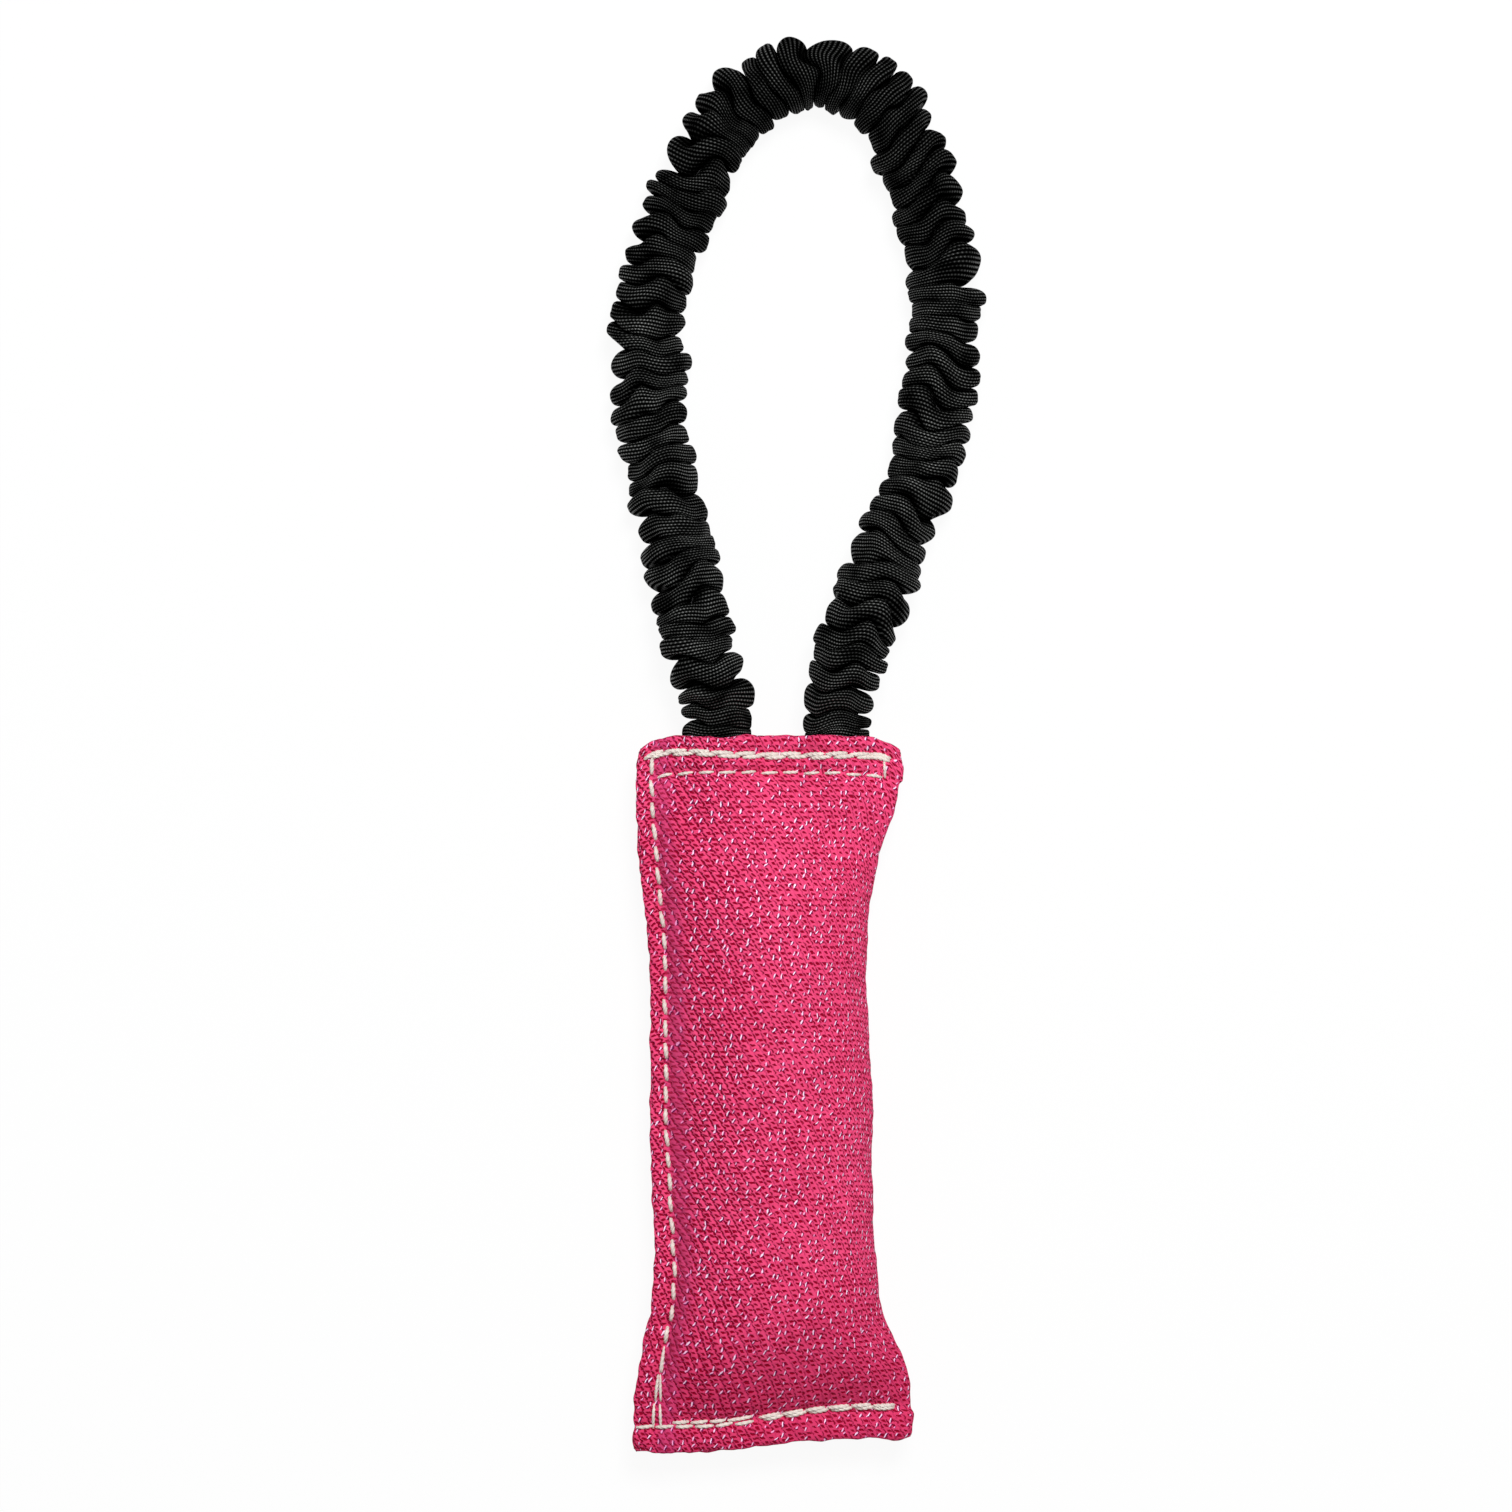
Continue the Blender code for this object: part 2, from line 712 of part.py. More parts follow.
def row_points(length_share, start_x, end_x):
    """Points of a row of stitches across the pillow, at a share of its length."""
    points = []
    for x in np.linspace(start_x, end_x, ROW_SAMPLES):
        points.append(tuple(plan_point(x, length_share).xy))
    return points


def side_seam_points():
    """The seam down the left side, between the top and the bottom rows."""
    first = 1 - (TOP_MARGIN + TOP_ROWS_APART + STITCH_LENGTH / 2) / PILLOW_LENGTH
    last = (BOTTOM_MARGIN + STITCH_LENGTH / 3) / PILLOW_LENGTH
    points = []
    for length_share in np.linspace(first, last, SIDE_SAMPLES):
        x = side_margin(length_share) - side_x(LEFT_SIDE_SHARES, length_share)
        points.append(tuple(plan_point(x, length_share).xy))
    return points


def row_limits(length_share):
    """Where a row of stitches starts at the left and ends at the right."""
    left = side_margin(length_share) - side_x(LEFT_SIDE_SHARES, length_share)
    right = side_x(RIGHT_SIDE_SHARES, length_share) - ROW_END_INSET
    return left, right


def top_seam_points():
    """Both top rows and the stitch that joins them at the right, as one thread."""
    outer_share = 1 - TOP_MARGIN / PILLOW_LENGTH
    inner_share = outer_share - TOP_ROWS_APART / PILLOW_LENGTH
    left, right = row_limits(outer_share)
    outer = stitch_line(row_points(outer_share, left, right))
    inner = stitch_line(row_points(inner_share, right, left))
    return outer + inner


def bottom_seam_points():
    """The bottom row, sewn twice over its first stitches."""
    first_share = (BOTTOM_MARGIN + DOUBLE_ROW_APART) / PILLOW_LENGTH
    second_share = BOTTOM_MARGIN / PILLOW_LENGTH
    left, right = row_limits(second_share)
    first = row_points(first_share, left + DOUBLE_ROW_LENGTH, left + STITCH_LENGTH / 2)
    second = row_points(second_share, left, right)
    return stitch_line(first) + stitch_line(second)


def seat_height(tree, x, y, facing):
    """How far the cloth stands from the middle plane around a point, on one face."""
    reach = THREAD_DIAMETER / 2 + FIT_GAP
    farthest = 0.0
    for dx, dy in ((0, 0), (1, 0), (-1, 0), (0, 1), (0, -1)):
        start = Vector((x + dx * reach, y + dy * reach, MIDDLE_Z + facing * PILLOW_LENGTH))
        hit = tree.ray_cast(start, Vector((0, 0, -facing)))[0]
        if hit is not None:
            farthest = max(farthest, facing * (hit.z - MIDDLE_Z))
    return farthest


def make_thread(name, tree, points, facing, material):
    """A seam's thread on one face: pinched at the needle holes, proud between them."""
    curve = bpy.data.curves.new(name, "CURVE")
    curve.dimensions = "3D"
    curve.bevel_depth = THREAD_DIAMETER / 2
    curve.bevel_resolution = 0
    curve.use_fill_caps = True
    spline = curve.splines.new("POLY")
    spline.points.add(len(points) - 1)
    for k, (x, y) in enumerate(points):
        proud = k % 2
        clear = THREAD_DIAMETER / 2 + FIT_GAP + STITCH_HOP * proud
        height = seat_height(tree, x, y, facing) + clear
        spline.points[k].co = (x, y, MIDDLE_Z + facing * height, 1)
        spline.points[k].radius = 1 if proud else THREAD_PINCH_SHARE
    thing = bpy.data.objects.new(name, curve)
    bpy.context.scene.collection.objects.link(thing)
    curve.materials.append(material)
    return thing


def make_threads(cover, material):
    """Needle thread on the front and bobbin thread on the back of every seam."""
    shape = bmesh.new()
    shape.from_mesh(cover.data)
    tree = BVHTree.FromBMesh(shape)
    shape.free()
    seams = (
        ("side_seam", stitch_line(side_seam_points())),
        ("top_seam", top_seam_points()),
        ("bottom_seam", bottom_seam_points()),
    )
    for seam, points in seams:
        make_thread(f"{seam}_needle_thread", tree, points, 1, material)
        make_thread(f"{seam}_bobbin_thread", tree, points, -1, material)


def main():
    """Build the toy."""
    remove_old_objects()
    cover = make_cover(finish_material("pink_cloth", PINK_CLOTH))
    make_filling(finish_material("white_filling", WHITE_FILLING))
    webbing = finish_material("black_webbing", BLACK_WEBBING)
    elastic = finish_material("black_elastic", BLACK_ELASTIC)
    make_tails(webbing, elastic)
    route = Route()
    print(f"The handle is {route.length:.4f} m long from mouth to mouth")
    make_handle(route, webbing, elastic)
    make_threads(cover, finish_material("white_thread", WHITE_THREAD))


main()
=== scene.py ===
"""Looks of a bungee tug toy: a stuffed cloth pillow with a loop handle of gathered webbing.

Places are in metres in the part's own frame: +X to the right across the pillow, +Y from the
pillow to the bow of the handle, +Z up from the surface that the toy lies on.
"""

from __future__ import annotations

import logging
import math
from dataclasses import dataclass
from enum import Enum
from typing import Any, Sequence, Union

import bpy
import numpy as np
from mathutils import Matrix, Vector
from mathutils.bvhtree import BVHTree


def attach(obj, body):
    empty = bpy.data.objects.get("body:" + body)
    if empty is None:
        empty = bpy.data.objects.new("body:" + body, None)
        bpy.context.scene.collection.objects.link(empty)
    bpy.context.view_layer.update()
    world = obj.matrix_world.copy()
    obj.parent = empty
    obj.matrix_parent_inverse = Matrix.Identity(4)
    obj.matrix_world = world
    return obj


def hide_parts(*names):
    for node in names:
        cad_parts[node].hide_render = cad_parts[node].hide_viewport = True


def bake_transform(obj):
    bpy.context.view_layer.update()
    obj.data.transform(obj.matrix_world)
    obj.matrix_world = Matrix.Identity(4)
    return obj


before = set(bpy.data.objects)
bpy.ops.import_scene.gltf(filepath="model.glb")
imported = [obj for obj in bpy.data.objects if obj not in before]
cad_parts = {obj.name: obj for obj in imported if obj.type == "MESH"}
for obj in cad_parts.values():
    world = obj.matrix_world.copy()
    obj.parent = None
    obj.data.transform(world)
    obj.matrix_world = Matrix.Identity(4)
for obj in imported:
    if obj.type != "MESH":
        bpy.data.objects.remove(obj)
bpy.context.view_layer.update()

LOG = logging.getLogger("tug_toy")
MM = 0.001
TURN = 2 * math.pi

Pair = tuple[float, float]
Triple = tuple[float, float, float]
Shares = Sequence[Pair]
Colour = Triple


# Writing node trees


class Quantity:
    """A number or vector worked out by nodes, which sums and products can be written with."""

    def __init__(self, board: "Board", socket: bpy.types.NodeSocket) -> None:
        """Hold the socket that gives the value, and the board that it is on."""
        self.board = board
        self.socket = socket

    def __add__(self, other: "Number") -> "Quantity":
        """Sum."""
        return self.board.math("ADD", self, other)

    def __sub__(self, other: "Number") -> "Quantity":
        """Difference."""
        return self.board.math("SUBTRACT", self, other)

    def __rsub__(self, other: "Number") -> "Quantity":
        """Difference from a plain number."""
        return self.board.math("SUBTRACT", other, self)

    def __rtruediv__(self, other: "Number") -> "Quantity":
        """Quotient of a plain number."""
        return self.board.math("DIVIDE", other, self)

    def __mul__(self, other: "Number") -> "Quantity":
        """Product."""
        return self.board.math("MULTIPLY", self, other)

    def __truediv__(self, other: "Number") -> "Quantity":
        """Quotient."""
        return self.board.math("DIVIDE", self, other)

    def __pow__(self, other: "Number") -> "Quantity":
        """Power."""
        return self.board.math("POWER", self, other)

    __radd__ = __add__
    __rmul__ = __mul__


Number = Union[Quantity, float]


class Board:
    """A node tree that is being filled, for a material or for geometry."""

    def __init__(self, tree: bpy.types.NodeTree) -> None:
        """Hold the tree."""
        self.tree = tree

    def plug(self, socket: bpy.types.NodeSocket, value: Any) -> None:
        """Link a quantity or a socket to an input, or set the input to a plain value."""
        if isinstance(value, Quantity):
            value = value.socket
        if isinstance(value, bpy.types.NodeSocket):
            self.tree.links.new(value, socket)
        else:
            socket.default_value = value

    def node(self, kind: str, plugs: dict[Any, Any] | None = None, **settings: Any) -> bpy.types.Node:
        """Add a node.

        Args:
            kind: Blender's name of the node's type.
            plugs: What goes into its inputs, by the input's name or number.
            settings: The node's own settings.

        Returns:
            The node.
        """
        node = self.tree.nodes.new(kind)
        for key, value in settings.items():
            setattr(node, key, value)
        for key, value in (plugs or {}).items():
            self.plug(node.inputs[key], value)
        return node

    def math(self, operation: str, *values: Number) -> Quantity:
        """Add a Math node on the values."""
        plugs = dict(enumerate(values))
        return Quantity(self, self.node("ShaderNodeMath", plugs, operation=operation).outputs[0])

    def floor(self, value: Number) -> Quantity:
        """The whole number below a value."""
        return self.math("FLOOR", value)

    def fraction(self, value: Number) -> Quantity:
        """What a value has over the whole number below it."""
        return self.math("FRACT", value)

    def size(self, value: Number) -> Quantity:
        """A value without its sign."""
        return self.math("ABSOLUTE", value)

    def sine(self, value: Number) -> Quantity:
        """Sine of an angle in radians."""
        return self.math("SINE", value)

    def cosine(self, value: Number) -> Quantity:
        """Cosine of an angle in radians."""
        return self.math("COSINE", value)

    def limit(self, value: Number, low: float, high: float) -> Quantity:
        """A value kept between two others."""
        return self.math("MAXIMUM", self.math("MINIMUM", value, high), low)

    def ease(self, value: Number, low: Number, high: Number) -> Quantity:
        """A smooth step from 0 at low to 1 at high."""
        plugs = {"Value": value, "From Min": low, "From Max": high}
        node = self.node("ShaderNodeMapRange", plugs, interpolation_type="SMOOTHSTEP")
        return Quantity(self, node.outputs[0])

    def mix(self, share: Number, first: Number, second: Number) -> Quantity:
        """A value between two others, or beyond them where the share is."""
        return (second - first) * share + first

    def vector(self, x: Number, y: Number, z: Number) -> Quantity:
        """Three numbers as a vector."""
        return Quantity(self, self.node("ShaderNodeCombineXYZ", {0: x, 1: y, 2: z}).outputs[0])

    def split(self, vector: Any) -> tuple[Quantity, Quantity, Quantity]:
        """A vector's three numbers."""
        node = self.node("ShaderNodeSeparateXYZ", {0: vector})
        return tuple(Quantity(self, socket) for socket in node.outputs)

    def cross(self, first: Any, second: Any) -> Quantity:
        """A unit vector square to two others."""
        node = self.node("ShaderNodeVectorMath", {0: first, 1: second}, operation="CROSS_PRODUCT")
        unit = self.node("ShaderNodeVectorMath", {0: node.outputs[0]}, operation="NORMALIZE")
        return Quantity(self, unit.outputs[0])

    def stretch(self, vector: Any, factor: Number) -> Quantity:
        """A vector times a number."""
        node = self.node("ShaderNodeVectorMath", {0: vector, "Scale": factor}, operation="SCALE")
        return Quantity(self, node.outputs[0])

    def total(self, *vectors: Any) -> Quantity:
        """The sum of several vectors."""
        found = vectors[0]
        for vector in vectors[1:]:
            found = self.node("ShaderNodeVectorMath", {0: found, 1: vector}, operation="ADD").outputs[0]
        return Quantity(self, found)

    def noise(self, place: Any, scale: float = 1.0, detail: float = 0.0) -> Quantity:
        """Smooth noise at a place, from about -1 to 1."""
        plugs = {"Vector": place, "Scale": scale, "Detail": detail}
        node = self.node("ShaderNodeTexNoise", plugs, noise_dimensions="3D")
        return (Quantity(self, node.outputs[0]) - 0.5) * 2.0

    def chance(self, place: Any) -> Quantity:
        """A number from 0 to 1 that differs with every place."""
        node = self.node("ShaderNodeTexWhiteNoise", {"Vector": place}, noise_dimensions="3D")
        return Quantity(self, node.outputs["Value"])

    def tint(self, share: Number, first: Any, second: Any) -> Quantity:
        """A colour between two others."""
        node = self.node("ShaderNodeMix", data_type="RGBA")
        factor, colours = node.inputs[0], node.inputs[6:8]
        for socket, value in zip((factor, *colours), (share, first, second)):
            self.plug(socket, (*value, 1.0) if isinstance(value, tuple) else value)
        return Quantity(self, node.outputs[2])

    def attribute(self, name: str) -> Quantity:
        """The vector that the mesh's points hold under a name."""
        return Quantity(self, self.node("ShaderNodeAttribute", attribute_name=name).outputs["Vector"])

    def object_place(self) -> Quantity:
        """The place on the piece, in metres."""
        return Quantity(self, self.node("ShaderNodeTexCoord").outputs["Object"])


class Ask(Enum):
    """What an input of a geometry tree takes."""

    LENGTH = "NodeSocketFloat"
    COUNT = "NodeSocketInt"
    PIECE = "NodeSocketObject"
    FINISH = "NodeSocketMaterial"


class GeometryBoard(Board):
    """A geometry tree with named inputs, which grows one mesh."""

    def __init__(self, name: str) -> None:
        """Start a tree with its output."""
        super().__init__(bpy.data.node_groups.new(name, "GeometryNodeTree"))
        self.entry = self.tree.nodes.new("NodeGroupInput")
        self.keys: dict[str, str] = {}
        self.tree.interface.new_socket("Mesh", in_out="OUTPUT", socket_type="NodeSocketGeometry")

    def ask(self, name: str, kind: Ask = Ask.LENGTH) -> Quantity:
        """Add a named input and return its value."""
        socket = self.tree.interface.new_socket(name, in_out="INPUT", socket_type=kind.value)
        self.keys[name] = socket.identifier
        return Quantity(self, self.entry.outputs[name])

    def object_shape(self, name: str) -> bpy.types.NodeSocket:
        """The shape of an object that a named input takes."""
        taken = self.ask(name, Ask.PIECE)
        return self.node("GeometryNodeObjectInfo", {"Object": taken}).outputs["Geometry"]

    def close(self, shape: Any) -> None:
        """End the tree: smooth shading, instances made real, and the finish."""
        smooth = self.node("GeometryNodeSetShadeSmooth", {"Geometry": shape}).outputs[0]
        real = self.node("GeometryNodeRealizeInstances", {"Geometry": smooth}).outputs[0]
        finish = self.ask("Finish", Ask.FINISH)
        dressed = self.node("GeometryNodeSetMaterial", {"Geometry": real, "Material": finish})
        exit_node = self.tree.nodes.new("NodeGroupOutput")
        self.tree.links.new(dressed.outputs[0], exit_node.inputs[0])

    def grow(self, name: str, values: dict[str, Any]) -> bpy.types.Object:
        """Run the tree once.

        Args:
            name: Name of the piece.
            values: The inputs' values, by their names.

        Returns:
            A plain mesh object at the origin.
        """
        holder = link_object(name, bpy.data.meshes.new(name))
        modifier = holder.modifiers.new("Grow", "NODES")
        modifier.node_group = self.tree
        for key, value in values.items():
            modifier[self.keys[key]] = value
        holder.data = evaluated_mesh(holder)
        holder.modifiers.remove(modifier)
        holder.data.name = name
        return holder


# Shared tools


def link_object(name: str, data: Any) -> bpy.types.Object:
    """Put an object with some data into the scene under a name."""
    thing = bpy.data.objects.new(name, data)
    bpy.context.scene.collection.objects.link(thing)
    return thing


def evaluated_mesh(thing: bpy.types.Object) -> bpy.types.Mesh:
    """A plain mesh of an object with its modifiers applied."""
    bpy.context.view_layer.update()
    depsgraph = bpy.context.evaluated_depsgraph_get()
    shown = thing.evaluated_get(depsgraph)
    return bpy.data.meshes.new_from_object(shown, preserve_all_data_layers=True, depsgraph=depsgraph)


def plain_mesh(name: str, points: np.ndarray, faces: list[list[int]]) -> bpy.types.Mesh:
    """A mesh of points in rows of three, and faces."""
    mesh = bpy.data.meshes.new(name)
    mesh.from_pydata(points.reshape(-1, 3), [], faces)
    return mesh


def read_points(items: Any, key: str = "co") -> np.ndarray:
    """Read the vectors of a Blender collection."""
    found = np.zeros(len(items) * 3, np.float32)
    items.foreach_get(key, found)
    return found.reshape(-1, 3).astype(float)


def grid_faces(number: np.ndarray, closed: bool = False) -> list[list[int]]:
    """The faces between neighbouring rows and columns of a grid.

    Args:
        number: The numbers of the grid's points.
        closed: Whether the last column joins the first.

    Returns:
        The faces, row by row, each from its first corner along its row.
    """
    if closed:
        number = np.concatenate([number, number[:, :1]], axis=1)
    corners = (number[:-1, :-1], number[:-1, 1:], number[1:, 1:], number[1:, :-1])
    return np.stack(corners, axis=-1).reshape(-1, 4).tolist()


def distances(line: np.ndarray) -> np.ndarray:
    """How far along a line each of its points is."""
    return np.concatenate([[0], np.cumsum(np.linalg.norm(np.diff(line, axis=0), axis=1))])


def smooth_step(value: np.ndarray | float) -> np.ndarray:
    """Ease from 0 to 1, level outside."""
    value = np.clip(value, 0, 1)
    return value * value * (3 - 2 * value)


def natural_spline(knots: Sequence[float], values: Sequence[float], places: Any) -> np.ndarray:
    """Read a natural cubic spline.

    Args:
        knots: Where the values are given, in rising order.
        values: The values there.
        places: Where to read the curve.

    Returns:
        The curve's values at the places.
    """
    knots = np.asarray(knots, float)
    values = np.asarray(values, float)
    places = np.asarray(places, float)
    step = np.diff(knots)
    slope = np.diff(values) / step
    matrix = np.eye(len(knots))
    right = np.zeros(len(knots))
    for row in range(1, len(knots) - 1):
        matrix[row, row - 1 : row + 2] = (step[row - 1], 2 * (step[row - 1] + step[row]), step[row])
        right[row] = 6 * (slope[row] - slope[row - 1])
    bend = np.linalg.solve(matrix, right)
    piece = np.clip(np.searchsorted(knots, places) - 1, 0, len(knots) - 2)
    after = places - knots[piece]
    before = knots[piece + 1] - places
    width = step[piece]
    cubic = (bend[piece] * before**3 + bend[piece + 1] * after**3) / (6 * width)
    first = (values[piece] / width - bend[piece] * width / 6) * before
    last = (values[piece + 1] / width - bend[piece + 1] * width / 6) * after
    return cubic + first + last


def ripple(places: Any, waves: Shares, phase: float = 0.0) -> np.ndarray:
    """An uneven line: a sum of sines.

    Args:
        places: Distances along the line.
        waves: Pairs of a wave's length and its height.
        phase: Where the first wave starts, in radians.

    Returns:
        The line's height at each place.
    """
    found = np.zeros_like(np.asarray(places, float))
    for number, (length, height) in enumerate(waves):
        found += height * np.sin(TURN * np.asarray(places) / length + phase + 2.1 * number)
    return found


# Finishes


def principled(name: str, roughness: float, **constants: Any) -> tuple[bpy.types.Material, Board, Any]:
    """Start a material.

    Args:
        name: The material's name.
        roughness: The surface's roughness.
        constants: Other inputs of the shader, with _ for spaces.

    Returns:
        The material, its board and its shader.
    """
    material = bpy.data.materials.new(name)
    material.use_nodes = True
    shader = material.node_tree.nodes["Principled BSDF"]
    shader.inputs["Roughness"].default_value = roughness
    for key, value in constants.items():
        shader.inputs[key.replace("_", " ")].default_value = value
    return material, Board(material.node_tree), shader


def relief(board: Board, shader: Any, height: Quantity, depth: float) -> None:
    """Give a shader a bump of a depth in metres from a height of 0 to 1."""
    bump = board.node("ShaderNodeBump", {"Height": height, "Distance": depth, "Strength": 1.0})
    board.plug(shader.inputs["Normal"], bump.outputs[0])


@dataclass(frozen=True)
class PinkCloth:
    """Coarse twill canvas with flecks of a shiny yarn.

    Lengths are the cloth's own millimetres. Where a value is a pair of edges, what it describes
    eases in from the first to the second. Where it is a pair for the gathered and the opened
    weave, the first is for the cloth beside the side seam and the second for the crown.
    """

    float_colour: Colour = (0.930, 0.082, 0.226)
    shade_colour: Colour = (0.790, 0.047, 0.156)
    gap_colour: Colour = (0.310, 0.0003, 0.020)
    # Painted shade in the furrows between the twill's ribs.
    furrow_shade_colour: Colour = (0.440, 0.010, 0.106)
    # Painted shade: a mauve strip beside the side seam, where the cloth turns away from the key lamp.
    seam_shade_colour: Colour = (0.540, 0.048, 0.175)
    # Painted shade: darker, redder cloth towards the bottom end, which slopes away from the key lamp.
    bottom_shade_colour: Colour = (0.520, 0.012, 0.075)
    fleck_colour: Colour = (1.000, 0.760, 0.930)
    fringe_colour: Colour = (0.960, 0.330, 0.640)
    # Painted shadow: a dark spot beside each fleck.
    fleck_shadow_colour: Colour = (0.150, 0.002, 0.070)
    roughness: Pair = (0.86, 0.35)
    gloss: Pair = (0.05, 0.60)
    sheen_tint: tuple[float, float, float, float] = (0.9, 0.3, 0.8, 1.0)
    relief_depth: float = 0.00046
    fleck_height: float = 0.66

    gathered_to: float = 9.0
    open_from: float = 34.0
    # Edges of the painted shade strip beside the side seam.
    seam_shade_right_edges: Pair = (8.0, 3.2)
    seam_shade_left_edges: Pair = (-0.3, 0.6)
    # Where the painted shade towards the bottom end starts and where it is full.
    bottom_shade_edges: Pair = (74.0, 8.0)
    sways: tuple[tuple[int, Triple, float, float], ...] = (
        (0, (0.0, 0.0, 0.0), 0.11, 0.50),
        (0, (0.0, 0.0, 0.0), 0.85, 0.32),
        (1, (40.0, 7.0, 0.0), 0.09, 0.50),
        (1, (9.0, 80.0, 0.0), 0.90, 0.40),
    )
    cloud_scale: float = 0.045
    patch_scale: float = 0.33
    fuzz_scale: Pair = (2.6, 1.5)

    column: float = 2.50
    row: float = 1.46
    twill_shift: float = 0.80
    # Painted shade of the furrows: where it falls on each rib, and how strong it is beside the seam and on
    # the crown.
    furrow_shade_edges: Pair = (0.62, 0.05)
    furrow_shade_strength: Pair = (0.72, 0.26)
    ridge_height: Pair = (0.46, 0.24)
    # Ties beside the side seam are stronger partly where the weave gathers and partly as painted shade.
    tie_strength: Pair = (1.50, 1.38)
    tie_end_edges: Pair = (0.50, 0.18)
    leg_side_edges: Pair = (0.42, 0.12)
    leg_end_edges: Pair = (0.72, 0.34)
    leg_strength: Pair = (1.0, 0.72)

    fleck_cell: Pair = (2.90, 2.68)
    fleck_scatter: float = 0.82
    fleck_share: float = 0.90
    fleck_half_width: float = 0.205
    fleck_half_length: float = 0.82
    fleck_lean: float = 0.46
    lean_spread: float = 0.80
    fleck_shadow_offset: float = 1.45

    def material(self) -> bpy.types.Material:
        """Build the finish."""
        sheen = {"Sheen_Weight": 0.02, "Sheen_Roughness": 0.45, "Sheen_Tint": self.sheen_tint}
        material, board, shader = principled("pink_cloth", self.roughness[0], **sheen)
        place = board.attribute("cloth")
        across, along, edge = board.split(place)
        opened = board.ease(across, self.gathered_to, self.open_from)
        # Painted shade: a strip beside the side seam.
        seam_shade = board.ease(across, *self.seam_shade_right_edges) * board.ease(across, *self.seam_shade_left_edges)
        # Painted shade, stronger towards the bottom end.
        bottom_shade = board.ease(along, *self.bottom_shade_edges) ** 1.5
        swayed = [across, along]
        for axis, offset, scale, reach in self.sways:
            swayed[axis] = swayed[axis] + board.noise(board.total(place, offset), scale, 1.0) * reach
        across, along = swayed
        ridge, tie = self.twill(board, across, along, opened)
        fleck, fleck_shadow = self.flecks(board, across, along)
        # Flecks are fainter in the painted shade strip.
        fleck = fleck * board.mix(seam_shade, 1.0, 0.5)
        # Ties are stronger beside the side seam, partly as painted shade, and fainter in the painted shade
        # strip.
        tie = tie * board.mix(opened, *self.tie_strength) * board.mix(seam_shade, 1.0, 0.55)
        fuzz_place = board.vector(across * self.fuzz_scale[0], along * self.fuzz_scale[1], edge)
        fuzz = board.noise(fuzz_place, 1.0, 2.0)
        patch = board.noise(place, self.patch_scale, 1.0)
        cloud = board.noise(place, self.cloud_scale, 2.0)
        # Painted shade in the furrows between ribs, stronger beside the side seam.
        furrow_shade = board.ease(ridge, *self.furrow_shade_edges) * board.mix(opened, *self.furrow_shade_strength)
        furrow_shade = furrow_shade * (patch * 0.9 + fuzz * 1.3 + 0.9)
        # Fleck cores are dimmer in the painted shade towards the bottom end.
        core = board.ease(fleck, 0.45, 0.95) * board.mix(bottom_shade, 1.0, 0.85)
        # Layers over the floats: random mottling, painted shade towards the bottom, painted shade in the
        # furrows, painted shade beside the side seam, the ties, a painted shadow beside each fleck, then the
        # fleck's fringe and its core.
        colour = self.float_colour
        for share, over in (
            (board.limit(cloud * 0.5 + patch * 0.4 + fuzz * 0.5 + 0.32, 0.0, 1.0), self.shade_colour),
            (bottom_shade * 0.42, self.bottom_shade_colour),
            (board.limit(furrow_shade, 0.0, 1.0), self.furrow_shade_colour),
            (seam_shade * 0.52, self.seam_shade_colour),
            (board.limit(tie, 0.0, 1.0), self.gap_colour),
            (fleck_shadow, self.fleck_shadow_colour),
            (board.ease(fleck, 0.0, 0.40), self.fringe_colour),
            (core, self.fleck_colour),
        ):
            colour = board.tint(share, colour, over)
        board.plug(shader.inputs["Base Color"], colour)
        board.plug(shader.inputs["Roughness"], board.mix(fleck, *self.roughness))
        board.plug(shader.inputs["Specular IOR Level"], board.mix(fleck, *self.gloss))
        height = ridge * board.mix(opened, *self.ridge_height) - tie * 0.45 + fuzz * 0.16 + 0.4
        raised = board.mix(board.ease(fleck, 0.0, 0.35), height, self.fleck_height)
        relief(board, shader, raised, self.relief_depth)
        return material

    def twill(
        self, board: Board, across: Quantity, along: Quantity, opened: Quantity
    ) -> tuple[Quantity, Quantity]:
        """The weave's ribs, which run down steeply to the right.

        Args:
            board: The material's board.
            across: Millimetres across the cloth.
            along: Millimetres along it.
            opened: 1 where the weave is spread by the stuffing, 0 where its ties close up in chains.

        Returns:
            The rib's height, and the dark ties between its floats.
        """
        line = along / self.row
        number, share = board.floor(line), board.fraction(line)
        stepped = number + board.ease(share, 0.20, 1.0)
        run = (across + stepped * self.twill_shift) / self.column
        rib = board.fraction(run)
        ridge = 1.0 - board.size(rib * 2.0 - 1.0) ** 2.0
        cells = (board.vector(board.floor(run), number, seed) for seed in (3.0, 8.0, 14.0))
        first, second, third = (board.chance(cell) for cell in cells)
        end = board.size(share - 0.60 - first * 0.20) * self.row
        middle = board.size(rib - 0.40 - second * 0.24) * self.column
        narrow = board.ease(middle, 0.48 + third * 0.30, 0.22 + third * 0.22)
        bar = board.ease(end, *self.tie_end_edges) * narrow * (first * 0.24 + 0.80)
        beside = (0.5 - board.size(rib - 0.5)) * self.column
        standing = board.size(share - 0.25 - third * 0.30) * self.row
        chained = board.ease(second + (1.0 - opened) * 0.50, 0.20, 0.70)
        leg = board.ease(beside, *self.leg_side_edges) * board.ease(standing, *self.leg_end_edges) * chained
        return ridge, board.math("MAXIMUM", bar, leg * board.mix(opened, *self.leg_strength))

